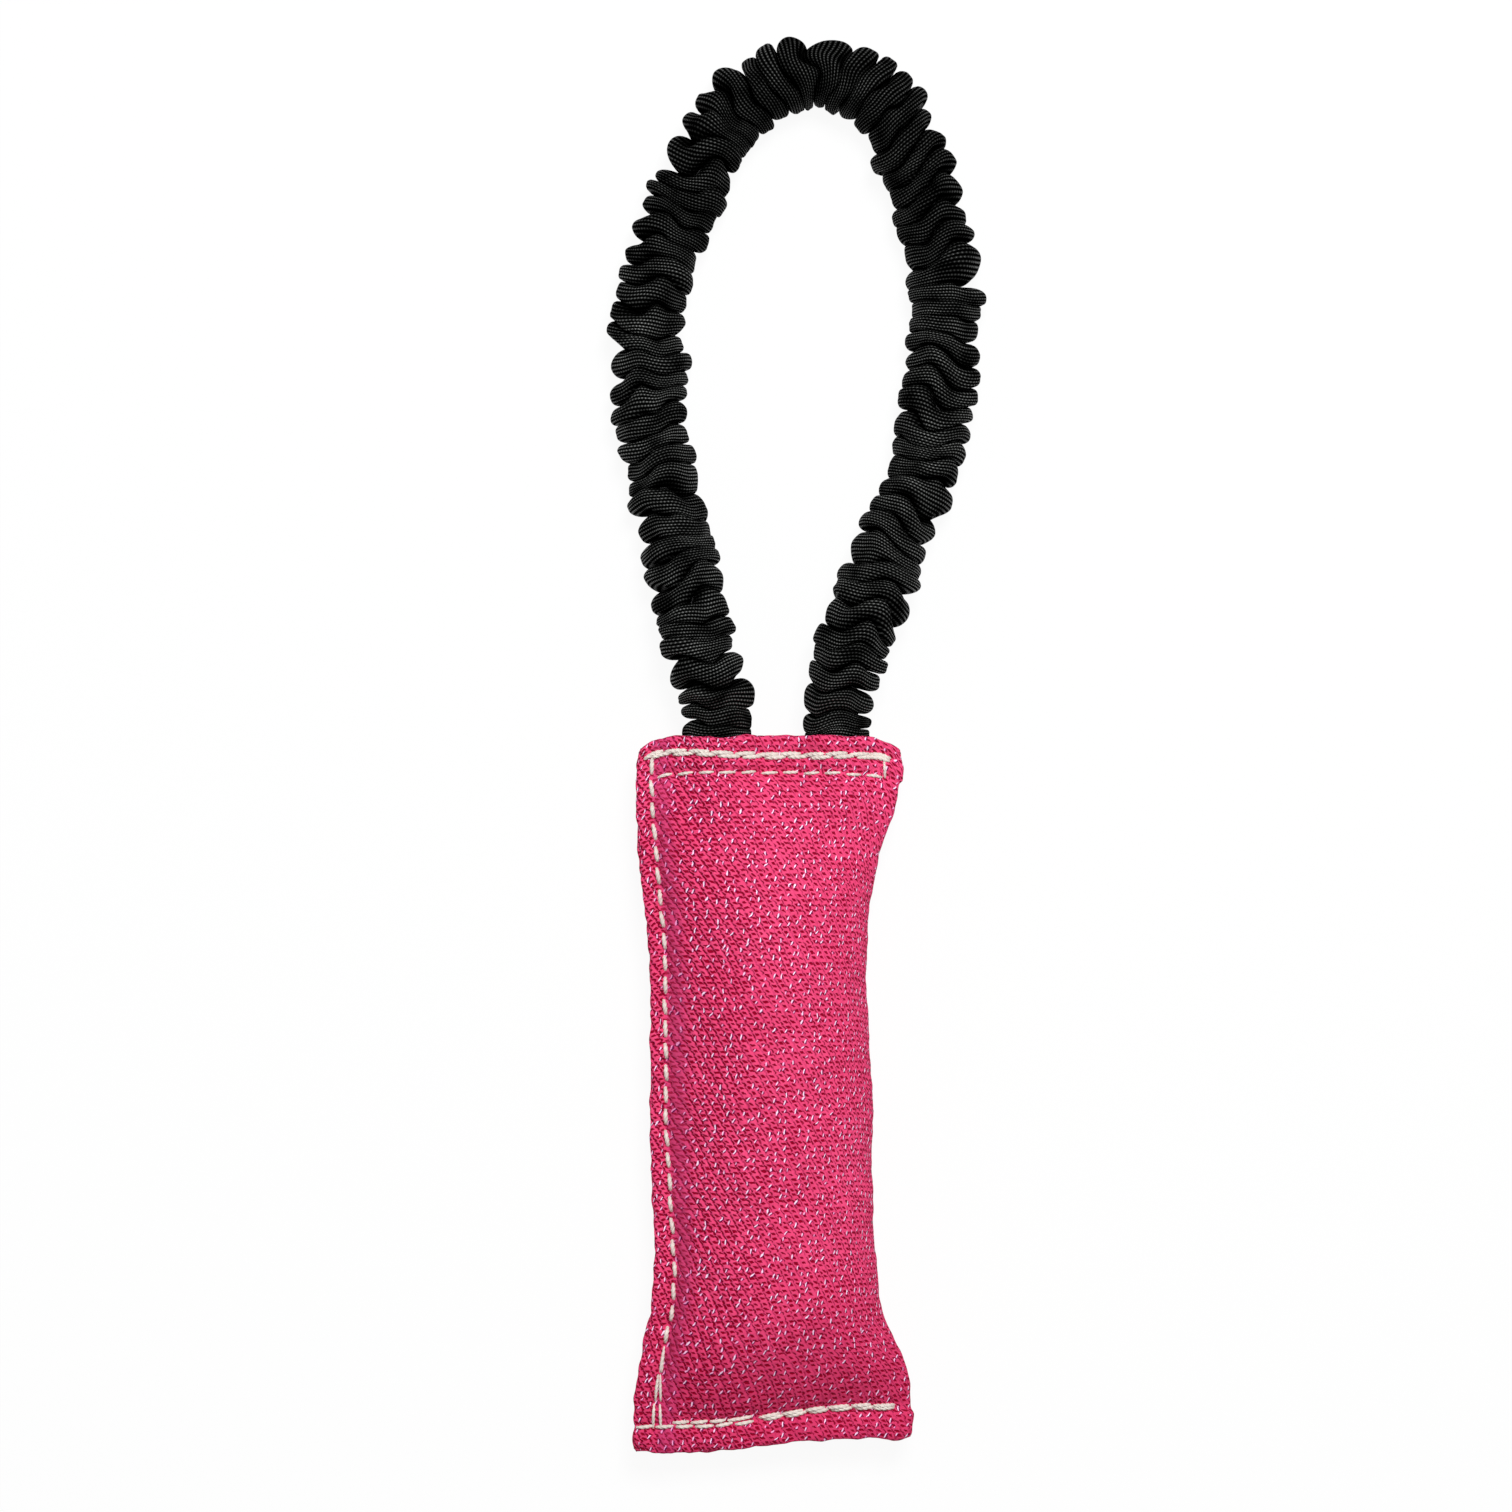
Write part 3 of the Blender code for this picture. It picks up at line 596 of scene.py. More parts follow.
    def flecks(self, board: Board, across: Quantity, along: Quantity) -> tuple[Quantity, Quantity]:
        """The shiny yarn where it comes up, scattered, slanting up to the right.

        Args:
            board: The material's board.
            across: Millimetres across the cloth.
            along: Millimetres along it.

        Returns:
            How much of a fleck is there, and of the painted shadow beside it, each from 0 to 1.
        """
        wide, high = self.fleck_cell
        run, rise = across / wide, along / high
        plugs = {"Vector": board.vector(run, rise, 0.0), "Scale": 1.0, "Randomness": self.fleck_scatter}
        cells = board.node("ShaderNodeTexVoronoi", plugs, voronoi_dimensions="2D")
        centre_run, centre_rise, _ = board.split(cells.outputs["Position"])
        shown, first, second = board.split(cells.outputs["Color"])
        right = (run - centre_run) * wide
        up = (rise - centre_rise) * high
        lean = (first - 0.5) * self.lean_spread + self.fleck_lean
        turned, straight = board.sine(lean), board.cosine(lean)
        side = (right * straight - up * turned) / self.fleck_half_width
        length = (right * turned + up * straight) / (self.fleck_half_length * (second * 0.45 + 0.55))
        tapered = board.size(length) ** 2.5
        present = board.math("LESS_THAN", shown, self.fleck_share) * (second ** 0.6 * 0.60 + 0.40)
        fleck = board.ease(side ** 2.0 + tapered, 1.4, 0.2) * present
        # Painted shadow: a dark spot offset to one side of each fleck.
        fleck_shadow = board.ease((side - self.fleck_shadow_offset) ** 2.0 + tapered, 1.6, 0.3) * present
        return fleck, fleck_shadow


@dataclass(frozen=True)
class BlackWebbing:
    """Ribbed nylon webbing: lines of dots along each rib, placed by the sleeve's own ribs. The light dots are
    painted glints of the yarn's sheen, in random patches, dimmed by painted shade in the valleys between
    rolls and over the bow.
    """

    dark: Colour = (0.0002, 0.0002, 0.0002)
    # Painted glint: the lighter colour of the rib dots is the yarn's sheen painted in.
    light: Colour = (0.170, 0.178, 0.170)
    roughness: Pair = (0.66, 0.32)
    dot_pitch: float = 1.00
    # Random patches in which the painted glints are stronger or weaker.
    glint_patch_scale: Pair = (0.13, 0.09)
    glint_patch_limits: Pair = (0.12, 2.0)
    relief_depth: float = 0.00046

    def material(self) -> bpy.types.Material:
        """Build the finish."""
        material, board, shader = principled("black_webbing", self.roughness[0])
        rib, around, unshaded_share = board.split(board.attribute("weave"))
        ridge = board.size(board.sine(rib * math.pi))
        dot = board.cosine((around / self.dot_pitch + board.floor(rib) * 0.5) * TURN) * 0.5 + 0.5
        glint_patch_place = board.vector(rib * self.glint_patch_scale[0], around * self.glint_patch_scale[1], 2.0)
        glint_patches = board.limit(board.noise(glint_patch_place, 1.0, 2.0) * 1.5 + 0.66, *self.glint_patch_limits)
        # Painted glints on the dots, in random patches, dimmed where painted shade falls in valleys and over
        # the bow.
        bead = ridge ** 6.0 * (dot ** 2.0 * 0.88 + 0.12)
        light = board.limit(bead * glint_patches * unshaded_share, 0.0, 1.0)
        board.plug(shader.inputs["Base Color"], board.tint(light, self.dark, self.light))
        board.plug(shader.inputs["Roughness"], board.mix(bead, *self.roughness))
        board.plug(shader.inputs["Specular IOR Level"], light)
        relief(board, shader, ridge * (dot * 0.30 + 0.70), self.relief_depth)
        return material


@dataclass(frozen=True)
class WhiteThread:
    """Thick waxed sewing thread, off-white."""

    pale: Colour = (0.860, 0.780, 0.710)
    dull: Colour = (0.580, 0.460, 0.420)
    fibre_scale: float = 2600.0
    dirt_scale: float = 240.0
    relief_depth: float = 0.00008

    def material(self) -> bpy.types.Material:
        """Build the finish."""
        material, board, shader = principled("white_thread", 0.58, Sheen_Weight=0.2)
        place = board.object_place()
        fibre = board.noise(place, self.fibre_scale, 2.0)
        dirt = board.noise(place, self.dirt_scale, 1.0)
        share = board.limit(fibre * 0.35 + dirt * 0.4 + 0.18, 0.0, 1.0)
        board.plug(shader.inputs["Base Color"], board.tint(share, self.pale, self.dull))
        relief(board, shader, fibre * 0.5 + 0.5, self.relief_depth)
        return material


@dataclass(frozen=True)
class ElasticJacket:
    """Braided jacket of the elastic cord, hidden in the sleeve."""

    dark: Colour = (0.010, 0.010, 0.011)
    light: Colour = (0.060, 0.060, 0.062)
    braid_width: float = 1.57
    relief_depth: float = 0.0002

    def material(self) -> bpy.types.Material:
        """Build the finish."""
        material, board, shader = principled("black_elastic", 0.6)
        rib, around, _ = board.split(board.attribute("weave"))
        turn = around * (TURN / self.braid_width)
        run = rib * TURN
        braid = board.sine(run + turn) * board.sine(run - turn) * 0.5 + 0.5
        board.plug(shader.inputs["Base Color"], board.tint(braid, self.dark, self.light))
        relief(board, shader, braid, self.relief_depth)
        return material


@dataclass(frozen=True)
class StuffingFibre:
    """White fibre stuffing, hidden in the cover."""

    pale: Colour = (0.860, 0.860, 0.840)
    shade: Colour = (0.620, 0.620, 0.600)
    fluff_scale: float = 420.0
    relief_depth: float = 0.0006

    def material(self) -> bpy.types.Material:
        """Build the finish."""
        material, board, shader = principled("white_filling", 0.95)
        fluff = board.noise(board.object_place(), self.fluff_scale, 3.0)
        board.plug(shader.inputs["Base Color"], board.tint(fluff * 0.5 + 0.5, self.pale, self.shade))
        relief(board, shader, fluff, self.relief_depth)
        return material


# Studio


@dataclass(frozen=True)
class Lamp:
    """A square soft lamp: its place, its side in metres and its power in watts."""

    name: str
    place: Triple
    side: float
    power: float


@dataclass(frozen=True)
class Studio:
    """Camera over the toy, soft lamps and a white floor that keeps a trace of shadow."""

    frame_width: float = 0.4218
    toy_height: float = 0.012
    camera_height: float = 1.312
    centre: Pair = (-0.0011, 0.0941)
    sensor: float = 36.0
    lamps: tuple[Lamp, ...] = (
        Lamp("key", (0.20, 0.70, 1.26), 0.46, 16.4),
        Lamp("top", (0.12, 0.05, 1.45), 0.8, 3.0),
        Lamp("left", (-0.85, 0.10, 0.60), 0.7, 0.6),
    )
    world_strength: float = 0.22
    floor_size: float = 6.0
    floor_drop: float = 0.0002
    floor_colour: Colour = (0.92, 0.92, 0.92)
    shadow_share: float = 0.07

    def build(self) -> None:
        """Make the camera, the lamps, the world and the floor."""
        self.camera()
        for lamp in self.lamps:
            self.light(lamp)
        self.world()
        self.floor()
        bpy.context.scene.view_settings.view_transform = "Standard"

    def camera(self) -> None:
        """Look straight down, with the photograph's frame at the toy's height."""
        data = bpy.data.cameras.new("camera")
        data.sensor_width = self.sensor
        data.lens = self.sensor * (self.camera_height - self.toy_height) / self.frame_width
        thing = link_object("camera", data)
        thing.location = (*self.centre, self.camera_height)
        bpy.context.scene.camera = thing

    def light(self, lamp: Lamp) -> None:
        """Add a lamp that faces the toy."""
        data = bpy.data.lights.new(lamp.name, "AREA")
        data.size = lamp.side
        data.energy = lamp.power
        thing = link_object(lamp.name, data)
        thing.location = lamp.place
        aim = Vector((*self.centre, 0)) - Vector(lamp.place)
        thing.rotation_euler = aim.to_track_quat("-Z", "Y").to_euler()

    def world(self) -> None:
        """White to the camera, and weaker as a light."""
        world = bpy.data.worlds.new("studio")
        world.use_nodes = True
        board = Board(world.node_tree)
        shown = world.node_tree.nodes["Background"]
        shown.inputs["Color"].default_value = (1, 1, 1, 1)
        seen = Quantity(board, board.node("ShaderNodeLightPath").outputs["Is Camera Ray"])
        board.plug(shown.inputs["Strength"], board.mix(seen, self.world_strength, 1.0))
        bpy.context.scene.world = world

    def floor(self) -> None:
        """A white floor: it glows to the camera, and the rest of it shows the toy's shadow."""
        half = self.floor_size / 2
        corners = [(x * half, y * half, -self.floor_drop) for x, y in ((-1, -1), (1, -1), (1, 1), (-1, 1))]
        mesh = plain_mesh("floor", np.array(corners), [[0, 1, 2, 3]])
        material = bpy.data.materials.new("floor")
        material.use_nodes = True
        tree = material.node_tree
        tree.nodes.remove(tree.nodes["Principled BSDF"])
        board = Board(tree)
        path = board.node("ShaderNodeLightPath").outputs
        seen = board.math("MAXIMUM", path["Is Camera Ray"], path["Is Glossy Ray"])
        seen = board.math("MAXIMUM", seen, path["Is Transmission Ray"])
        lit = board.node("ShaderNodeBsdfDiffuse", {"Color": (*self.floor_colour, 1)}).outputs[0]
        glow = board.node("ShaderNodeEmission", {"Color": (1, 1, 1, 1), "Strength": 1.0}).outputs[0]
        mixed = board.node("ShaderNodeMixShader", {0: seen * (1 - self.shadow_share), 1: lit, 2: glow})
        tree.links.new(mixed.outputs[0], tree.nodes["Material Output"].inputs["Surface"])
        mesh.materials.append(material)
        link_object("floor", mesh)


# Handle


class Stretch(Enum):
    """The stretches into which the handle is cut."""

    LEFT = "left"
    LOOP = "loop"
    RIGHT = "right"


@dataclass
class HandleLine:
    """The handle's middle line, from inside the left mouth to inside the right one."""

    reach: float = 0.1845
    pillow_top: float = 0.09975
    middle_z: float = 0.0141
    floor_z: float = 0.00784
    level_run: float = 0.0190
    drop: float = 0.0560
    tuck: float = 0.0095
    tuck_points: int = 12
    samples: int = 900
    shares: Shares = (
        (-0.062, 0.000), (-0.066, 0.055), (-0.083, 0.110), (-0.096, 0.165), (-0.109, 0.216), (-0.121, 0.266),
        (-0.133, 0.327), (-0.145, 0.382), (-0.156, 0.436), (-0.165, 0.490), (-0.168, 0.545), (-0.169, 0.600),
        (-0.168, 0.648), (-0.158, 0.692), (-0.144, 0.738), (-0.127, 0.778), (-0.107, 0.820), (-0.085, 0.868),
        (-0.056, 0.915), (-0.018, 0.954), (0.024, 0.982), (0.078, 0.998), (0.134, 0.988), (0.182, 0.953),
        (0.218, 0.900), (0.244, 0.845), (0.260, 0.795), (0.272, 0.740), (0.279, 0.682), (0.281, 0.610),
        (0.276, 0.550), (0.268, 0.495), (0.254, 0.430), (0.234, 0.368), (0.210, 0.312), (0.187, 0.260),
        (0.168, 0.208), (0.150, 0.165), (0.136, 0.120), (0.124, 0.070), (0.116, 0.032), (0.114, 0.000),
    )

    def __post_init__(self) -> None:
        """Read the smooth line at even steps."""
        plan = np.array(self.shares) * self.reach
        knots = distances(plan)
        places = np.linspace(0, knots[-1], self.samples)
        line = np.stack([natural_spline(knots, plan[:, k], places) for k in (0, 1)], axis=1)
        line[:, 1] += self.pillow_top
        tucked = self.pillow_top - self.tuck * np.linspace(1, 0, self.tuck_points, endpoint=False)
        ends = (line[0], line[-1])
        left, right = (np.column_stack([np.full(self.tuck_points, end[0]), tucked]) for end in ends)
        line = np.concatenate([left, line, right[::-1]])
        self.along = distances(line)
        self.length = float(self.along[-1])
        to_mouth = np.minimum(self.along, self.length - self.along) - self.tuck
        fallen = smooth_step((to_mouth - self.level_run) / self.drop)
        z = self.middle_z + (self.floor_z - self.middle_z) * fallen
        self.points = np.column_stack([line, z])

    def where(self, y: float, leg: Stretch) -> float:
        """Distance along the line at which one leg passes a height in plan."""
        third = len(self.along) // 3
        if leg is Stretch.LEFT:
            return float(np.interp(y, self.points[:third, 1], self.along[:third]))
        return float(np.interp(y, self.points[-third:, 1][::-1], self.along[-third:][::-1]))

    def between(self, start: float, end: float, count: int = 160) -> list[tuple[float, ...]]:
        """Points of the line between two distances along it."""
        places = np.linspace(start, end, count)
        columns = [np.interp(places, self.along, self.points[:, k]) for k in range(3)]
        return [tuple(float(x) for x in point) for point in np.stack(columns, axis=1)]

    def curve(self) -> bpy.types.Object:
        """The line as a curve object, for the geometry tree to follow."""
        data = bpy.data.curves.new("handle_line", "CURVE")
        data.dimensions = "3D"
        spline = data.splines.new("POLY")
        spline.points.add(len(self.points) - 1)
        spline.points.foreach_set("co", np.column_stack([self.points, np.ones(len(self.points))]).ravel())
        return link_object("handle_line", data)


class Wobble(Enum):
    """A way in which the gathered tube is uneven.

    Each is the noise's seed, its steps for one step of what it follows, how much it differs
    between the tube's left and right and between its top and bottom, and its reach.
    """

    SPACING = (1, 1 / 3.3, 0.0, 0.0, 0.40)
    TILT = (2, 1 / 3.4, 0.78, 0.0, 1.20)
    DEPTH = (3, 7.31, 1.10, 0.35, 1.25)
    SWELL = (4, 5.77, 1.00, 0.30, 3.2 * MM)
    CREASE = (5, 1.9, 1.2, 1.2, 0.50 * MM)
    FINE_CREASE = (6, 4.0, 2.6, 2.6, 0.16 * MM)
    LEAN = (7, 0.42, 0.9, 0.2, 0.40)
    STRAY = (8, 1 / 1.9, 0.0, 0.0, 1.6 * MM)
    YARN = (9, 1.3, 1.0, 1.0, 1.2)


@dataclass
class GatheredTube:
    """A tube along a line, gathered into uneven rolls, as a geometry tree.

    A roll runs from one valley to the next, and its shares are of its own length. The inside of
    the bow is the tube's left, where side_share is above 0.
    """

    seed_step: float = 31.7
    crowding_step: float = 0.05
    bend_run: float = 0.035
    squareness_in_crowd: float = 3.0
    squareness_lost_in_bow: float = 0.6
    squareness_limits: Pair = (2.1, 6.0)
    notch: float = 1.12
    side_notches: Pair = (0.04, 0.12)
    side_depth: float = 0.32
    side_swell: float = 0.15 * MM
    depth_limits: Pair = (0.16, 1.20)
    crowded_depths: Triple = (1.85, 0.72, 0.25)
    pinch: float = -0.11
    floor_gap: float = 0.00015
    floor_softness: float = 0.0012
    # Painted shade on the webbing: its glints fade in deep valleys, and over the bow to a share.
    shaded_depths: Pair = (0.3 * MM, 2.6 * MM)
    shade_share: float = 0.85
    glint_share_in_shaded_bow: float = 0.45

    def __post_init__(self) -> None:
        """Write the tree."""
        self.board = GeometryBoard("gathered_tube")
        board = self.board
        self.line = board.object_shape("Line")
        self.start = board.ask("Start")
        self.end = board.ask("End")
        self.whole = board.ask("Whole Length")
        self.tuck = board.ask("Tuck")
        self.opening = board.ask("Opening Run")
        self.bow_from = board.ask("Bow From")
        self.crown_from = board.ask("Crown From")
        self.crown_rise = board.ask("Crown Rise")
        self.pitch = board.ask("Pitch")
        self.valley = board.ask("Valley Radius")
        self.peak = board.ask("Peak Radius")
        self.flat_width = board.ask("Flat Half Width")
        self.flat_height = board.ask("Flat Half Height")
        self.uneven = board.ask("Unevenness")
        self.ribs = board.ask("Ribs In A Roll")
        rings = board.ask("Rings", Ask.COUNT)
        sides = board.ask("Sides", Ask.COUNT)
        plugs = {"Vertices": sides, "Side Segments": rings, "Radius": 1.0, "Depth": 1.0}
        tube = board.node("GeometryNodeMeshCylinder", plugs, fill_type="NONE").outputs["Mesh"]
        x, y, z = board.split(board.node("GeometryNodeInputPosition").outputs[0])
        self.turn = board.math("ARCTAN2", y, x)
        self.side_share, self.up_share = x, y
        self.along = board.mix(z + 0.5, self.start, self.end)
        weave, position = self.formula()
        stored = board.node("GeometryNodeStoreNamedAttribute", data_type="FLOAT_VECTOR", domain="POINT")
        board.plug(stored.inputs["Geometry"], tube)
        board.plug(stored.inputs["Name"], "weave")
        board.plug(next(s for s in stored.inputs if s.name == "Value" and s.enabled), weave)
        moved = board.node("GeometryNodeSetPosition", {"Geometry": stored.outputs[0], "Position": position})
        board.close(moved.outputs[0])

    def wobble(self, kind: Wobble, run: Number) -> Quantity:
        """Noise that runs along the tube and closes round it."""
        seed, steps, width, height, reach = kind.value
        place = (run * steps + seed * self.seed_step, self.side_share * width, self.up_share * height)
        return self.board.noise(self.board.vector(*place)) * reach

    def gather(self, run: Quantity) -> Quantity:
        """Number of rolls up to a place: uneven, and tilted from side to side."""
        return run + self.wobble(Wobble.SPACING, run) + self.wobble(Wobble.TILT, run)

    def formula(self) -> tuple[Quantity, Quantity]:
        """The place of a point of the tube in the weave, and its place; the weave's third number is the share
        of the painted glint left by painted shade in valleys and over the bow.
        """
        board = self.board
        run = self.along / self.pitch
        phase = self.gather(run)
        crowding = (self.gather(run + self.crowding_step) - phase) / self.crowding_step
        to_end = board.math("MINIMUM", self.along, self.whole - self.along)
        in_bow = board.ease(to_end, self.bow_from - self.bend_run, self.bow_from)
        roll = board.fraction(phase)
        bulge = self.bulge(roll, crowding, in_bow)
        depth = self.depth(board.floor(phase + 0.5), crowding)
        swell = self.wobble(Wobble.SWELL, board.floor(phase)) * bulge + self.side_share * self.side_swell
        crease = self.wobble(Wobble.CREASE, phase) + self.wobble(Wobble.FINE_CREASE, phase)
        radius = self.peak + (swell + crease * bulge) * self.uneven - depth * (1.0 - bulge)
        pinch = board.sine(roll * TURN) * board.cosine(roll * math.pi) ** 4.0 * self.pinch
        lean = bulge * self.wobble(Wobble.LEAN, phase)
        position = self.position(self.along + (pinch + lean) * self.pitch * self.uneven, to_end, radius, run)
        steep = roll + board.sine(roll * TURN) * (0.5 / TURN)
        rib = (board.floor(phase) + steep + run) * (self.ribs * 0.5)
        around = self.turn * self.peak / MM + self.wobble(Wobble.YARN, phase)
        # Painted shade: the glints fade in deep valleys between rolls and over the bow.
        fallen = board.ease(depth * (1.0 - bulge), *self.shaded_depths)
        unshaded_share = board.mix(in_bow, 1.0, self.glint_share_in_shaded_bow) * (1.0 - fallen * self.shade_share)
        return board.vector(rib, around, unshaded_share), position

    def bulge(self, roll: Quantity, crowding: Quantity, in_bow: Quantity) -> Quantity:
        """How far a roll stands out, from 0 in its valleys to 1 on its back.

        Args:
            roll: Share of the roll, from valley to valley.
            crowding: How much closer the rolls lie than on average.
            in_bow: 1 in the bow, 0 in the legs.

        Returns:
            The bulge, squarer where the rolls are crowded.
        """
        board = self.board
        lost = self.side_share * in_bow * self.squareness_lost_in_bow
        squareness = board.limit(crowding * self.squareness_in_crowd - lost, *self.squareness_limits)
        notch = board.limit(self.side_share, 0.0, 1.0) * board.mix(in_bow, *self.side_notches) + self.notch
        to_valley = board.math("MINIMUM", board.size(roll * 2.0 - 1.0) * notch, 1.0)
        return (1.0 - to_valley ** squareness) ** (1.0 / squareness)

    def depth(self, valley: Quantity, crowding: Quantity) -> Quantity:
        """How deep a valley is, by its number and by how crowded the rolls are."""
        board = self.board
        high, fall, least = self.crowded_depths
        deep = self.wobble(Wobble.DEPTH, valley) + self.side_share * self.side_depth + 1.0
        deep = board.limit(deep, *self.depth_limits) * board.limit(high - crowding * fall, least, 1.0)
        return (self.peak - self.valley) * deep

    def position(self, along: Quantity, to_end: Quantity, radius: Quantity, run: Quantity) -> Quantity:
        """Where a point of the tube lies.

        Args:
            along: Its distance along the line.
            to_end: Distance to the nearer end of the whole line.
            radius: Its distance from the line.
            run: Its place along the tube, in rolls.

        Returns:
            The place, over the floor, and flat where the tube is held in a mouth.
        """
        board = self.board
        plugs = {"Curves": self.line, "Length": along}
        sample = board.node("GeometryNodeSampleCurve", plugs, mode="LENGTH").outputs
        side = board.cross((0.0, 0.0, 1.0), sample["Tangent"])
        up = board.cross(sample["Tangent"], side)
        opened = board.ease(to_end - self.tuck, 0.0, self.opening)
        wide = radius * board.mix(opened, self.flat_width / self.peak, 1.0)
        high = radius * board.mix(opened, self.flat_height / self.peak, 1.0)
        high = high * board.size(self.up_share) ** (1.0 - opened)
        stray = self.wobble(Wobble.STRAY, run) * opened * self.uneven
        stray = stray + board.ease(to_end, self.crown_from, self.crown_from + self.bend_run) * self.crown_rise
        sideways = board.stretch(side, wide * self.side_share + stray)
        upward = board.stretch(up, high * self.up_share)
        x, y, z = board.split(board.total(sample["Position"], sideways, upward))
        return board.vector(x, y, board.math("SMOOTH_MAX", z, self.floor_gap, self.floor_softness))


@dataclass(frozen=True)
class Hose:
    """One of the handle's two tubes: its radii, its flat ends in the mouths, and its mesh."""

    kind: str
    slot: str
    valley: float
    peak: float
    flat_half_width: float
    flat_half_height: float
    unevenness: float
    ribs_in_a_roll: float
    ring_step: float
    sides: int


@dataclass
class Handle:
    """The gathered sleeve and the elastic in it, each cut where the toy bends and stretches."""

    line: HandleLine
    cut_y: float = 0.1325
    fold_start_y: float = 0.0998
    fold_end_y: float = 0.1310
    stretch_start_y: float = 0.1340
    stretch_end_y: float = 0.2700
    opening_run: float = 0.0150
    bow_from: float = 0.1600
    crown_from: float = 0.1650
    crown_rise: float = 0.0018
    pitch: float = 0.0060
    sleeve_diameter: float = 0.0190
    sleeve: Hose = Hose("sleeve", "black_webbing", 0.0046, 0.0105, 0.0093, 0.0035, 1.0, 9.0, 0.00027, 72)
    left_flat_half_width: float = 0.0107
    elastic: Hose = Hose("elastic", "black_elastic", 0.0040, 0.0040, 0.0070, 0.0020, 0.0, 5.0, 0.00162, 24)

    def build(self) -> None:
        """Grow the six pieces, and hide the CAD parts that they stand for."""
        self.tube = GatheredTube()
        self.curve = self.line.curve()
        left, right = (self.line.where(self.cut_y, leg) for leg in (Stretch.LEFT, Stretch.RIGHT))
        webbing, jacket = BlackWebbing().material(), ElasticJacket().material()
        ends = {
            Stretch.LEFT: (0.0, left),
            Stretch.LOOP: (left, right),
            Stretch.RIGHT: (right, self.line.length),
        }
        for stretch, (start, end) in ends.items():
            self.piece(self.sleeve, stretch, start, end, webbing)
            self.piece(self.elastic, stretch, start, end, jacket)
        path = self.line.between(left, right)
        bpy.data.objects.remove(self.curve)

    def piece(
        self, hose: Hose, stretch: Stretch, start: float, end: float, finish: bpy.types.Material
    ) -> bpy.types.Object:
        """Grow one stretch of the sleeve or the elastic.

        Args:
            hose: Which of the two it is.
            stretch: Which stretch of it.
            start: Distance along the line of its first ring.
            end: Distance of its last ring.
            finish: Its material.

        Returns:
            The piece.
        """
        wider = hose is self.sleeve and stretch is Stretch.LEFT
        values = {
            "Line": self.curve,
            "Start": start,
            "End": end,
            "Whole Length": self.line.length,
            "Tuck": self.line.tuck,
            "Opening Run": self.opening_run,
            "Bow From": self.bow_from,
            "Crown From": self.crown_from,
            "Crown Rise": self.crown_rise,
            "Pitch": self.pitch,
            "Valley Radius": hose.valley,
            "Peak Radius": hose.peak,
            "Flat Half Width": self.left_flat_half_width if wider else hose.flat_half_width,
            "Flat Half Height": hose.flat_half_height,
            "Unevenness": hose.unevenness,
            "Ribs In A Roll": hose.ribs_in_a_roll,
            "Rings": round((end - start) / hose.ring_step),
            "Sides": hose.sides,
            "Finish": finish,
        }
        place = stretch.value
        thing = self.tube.board.grow(f"{hose.kind}_{place}", values)
        if stretch is Stretch.LOOP:
            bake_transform(thing)
            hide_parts(f"{hose.kind}_bow")
        else:
            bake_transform(thing)
            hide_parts(f"{place}_{hose.kind}_leg", f"{place}_{hose.kind}_tail")
        LOG.info("%s: %d faces", thing.name, len(thing.data.polygons))
        return thing


# Pillow


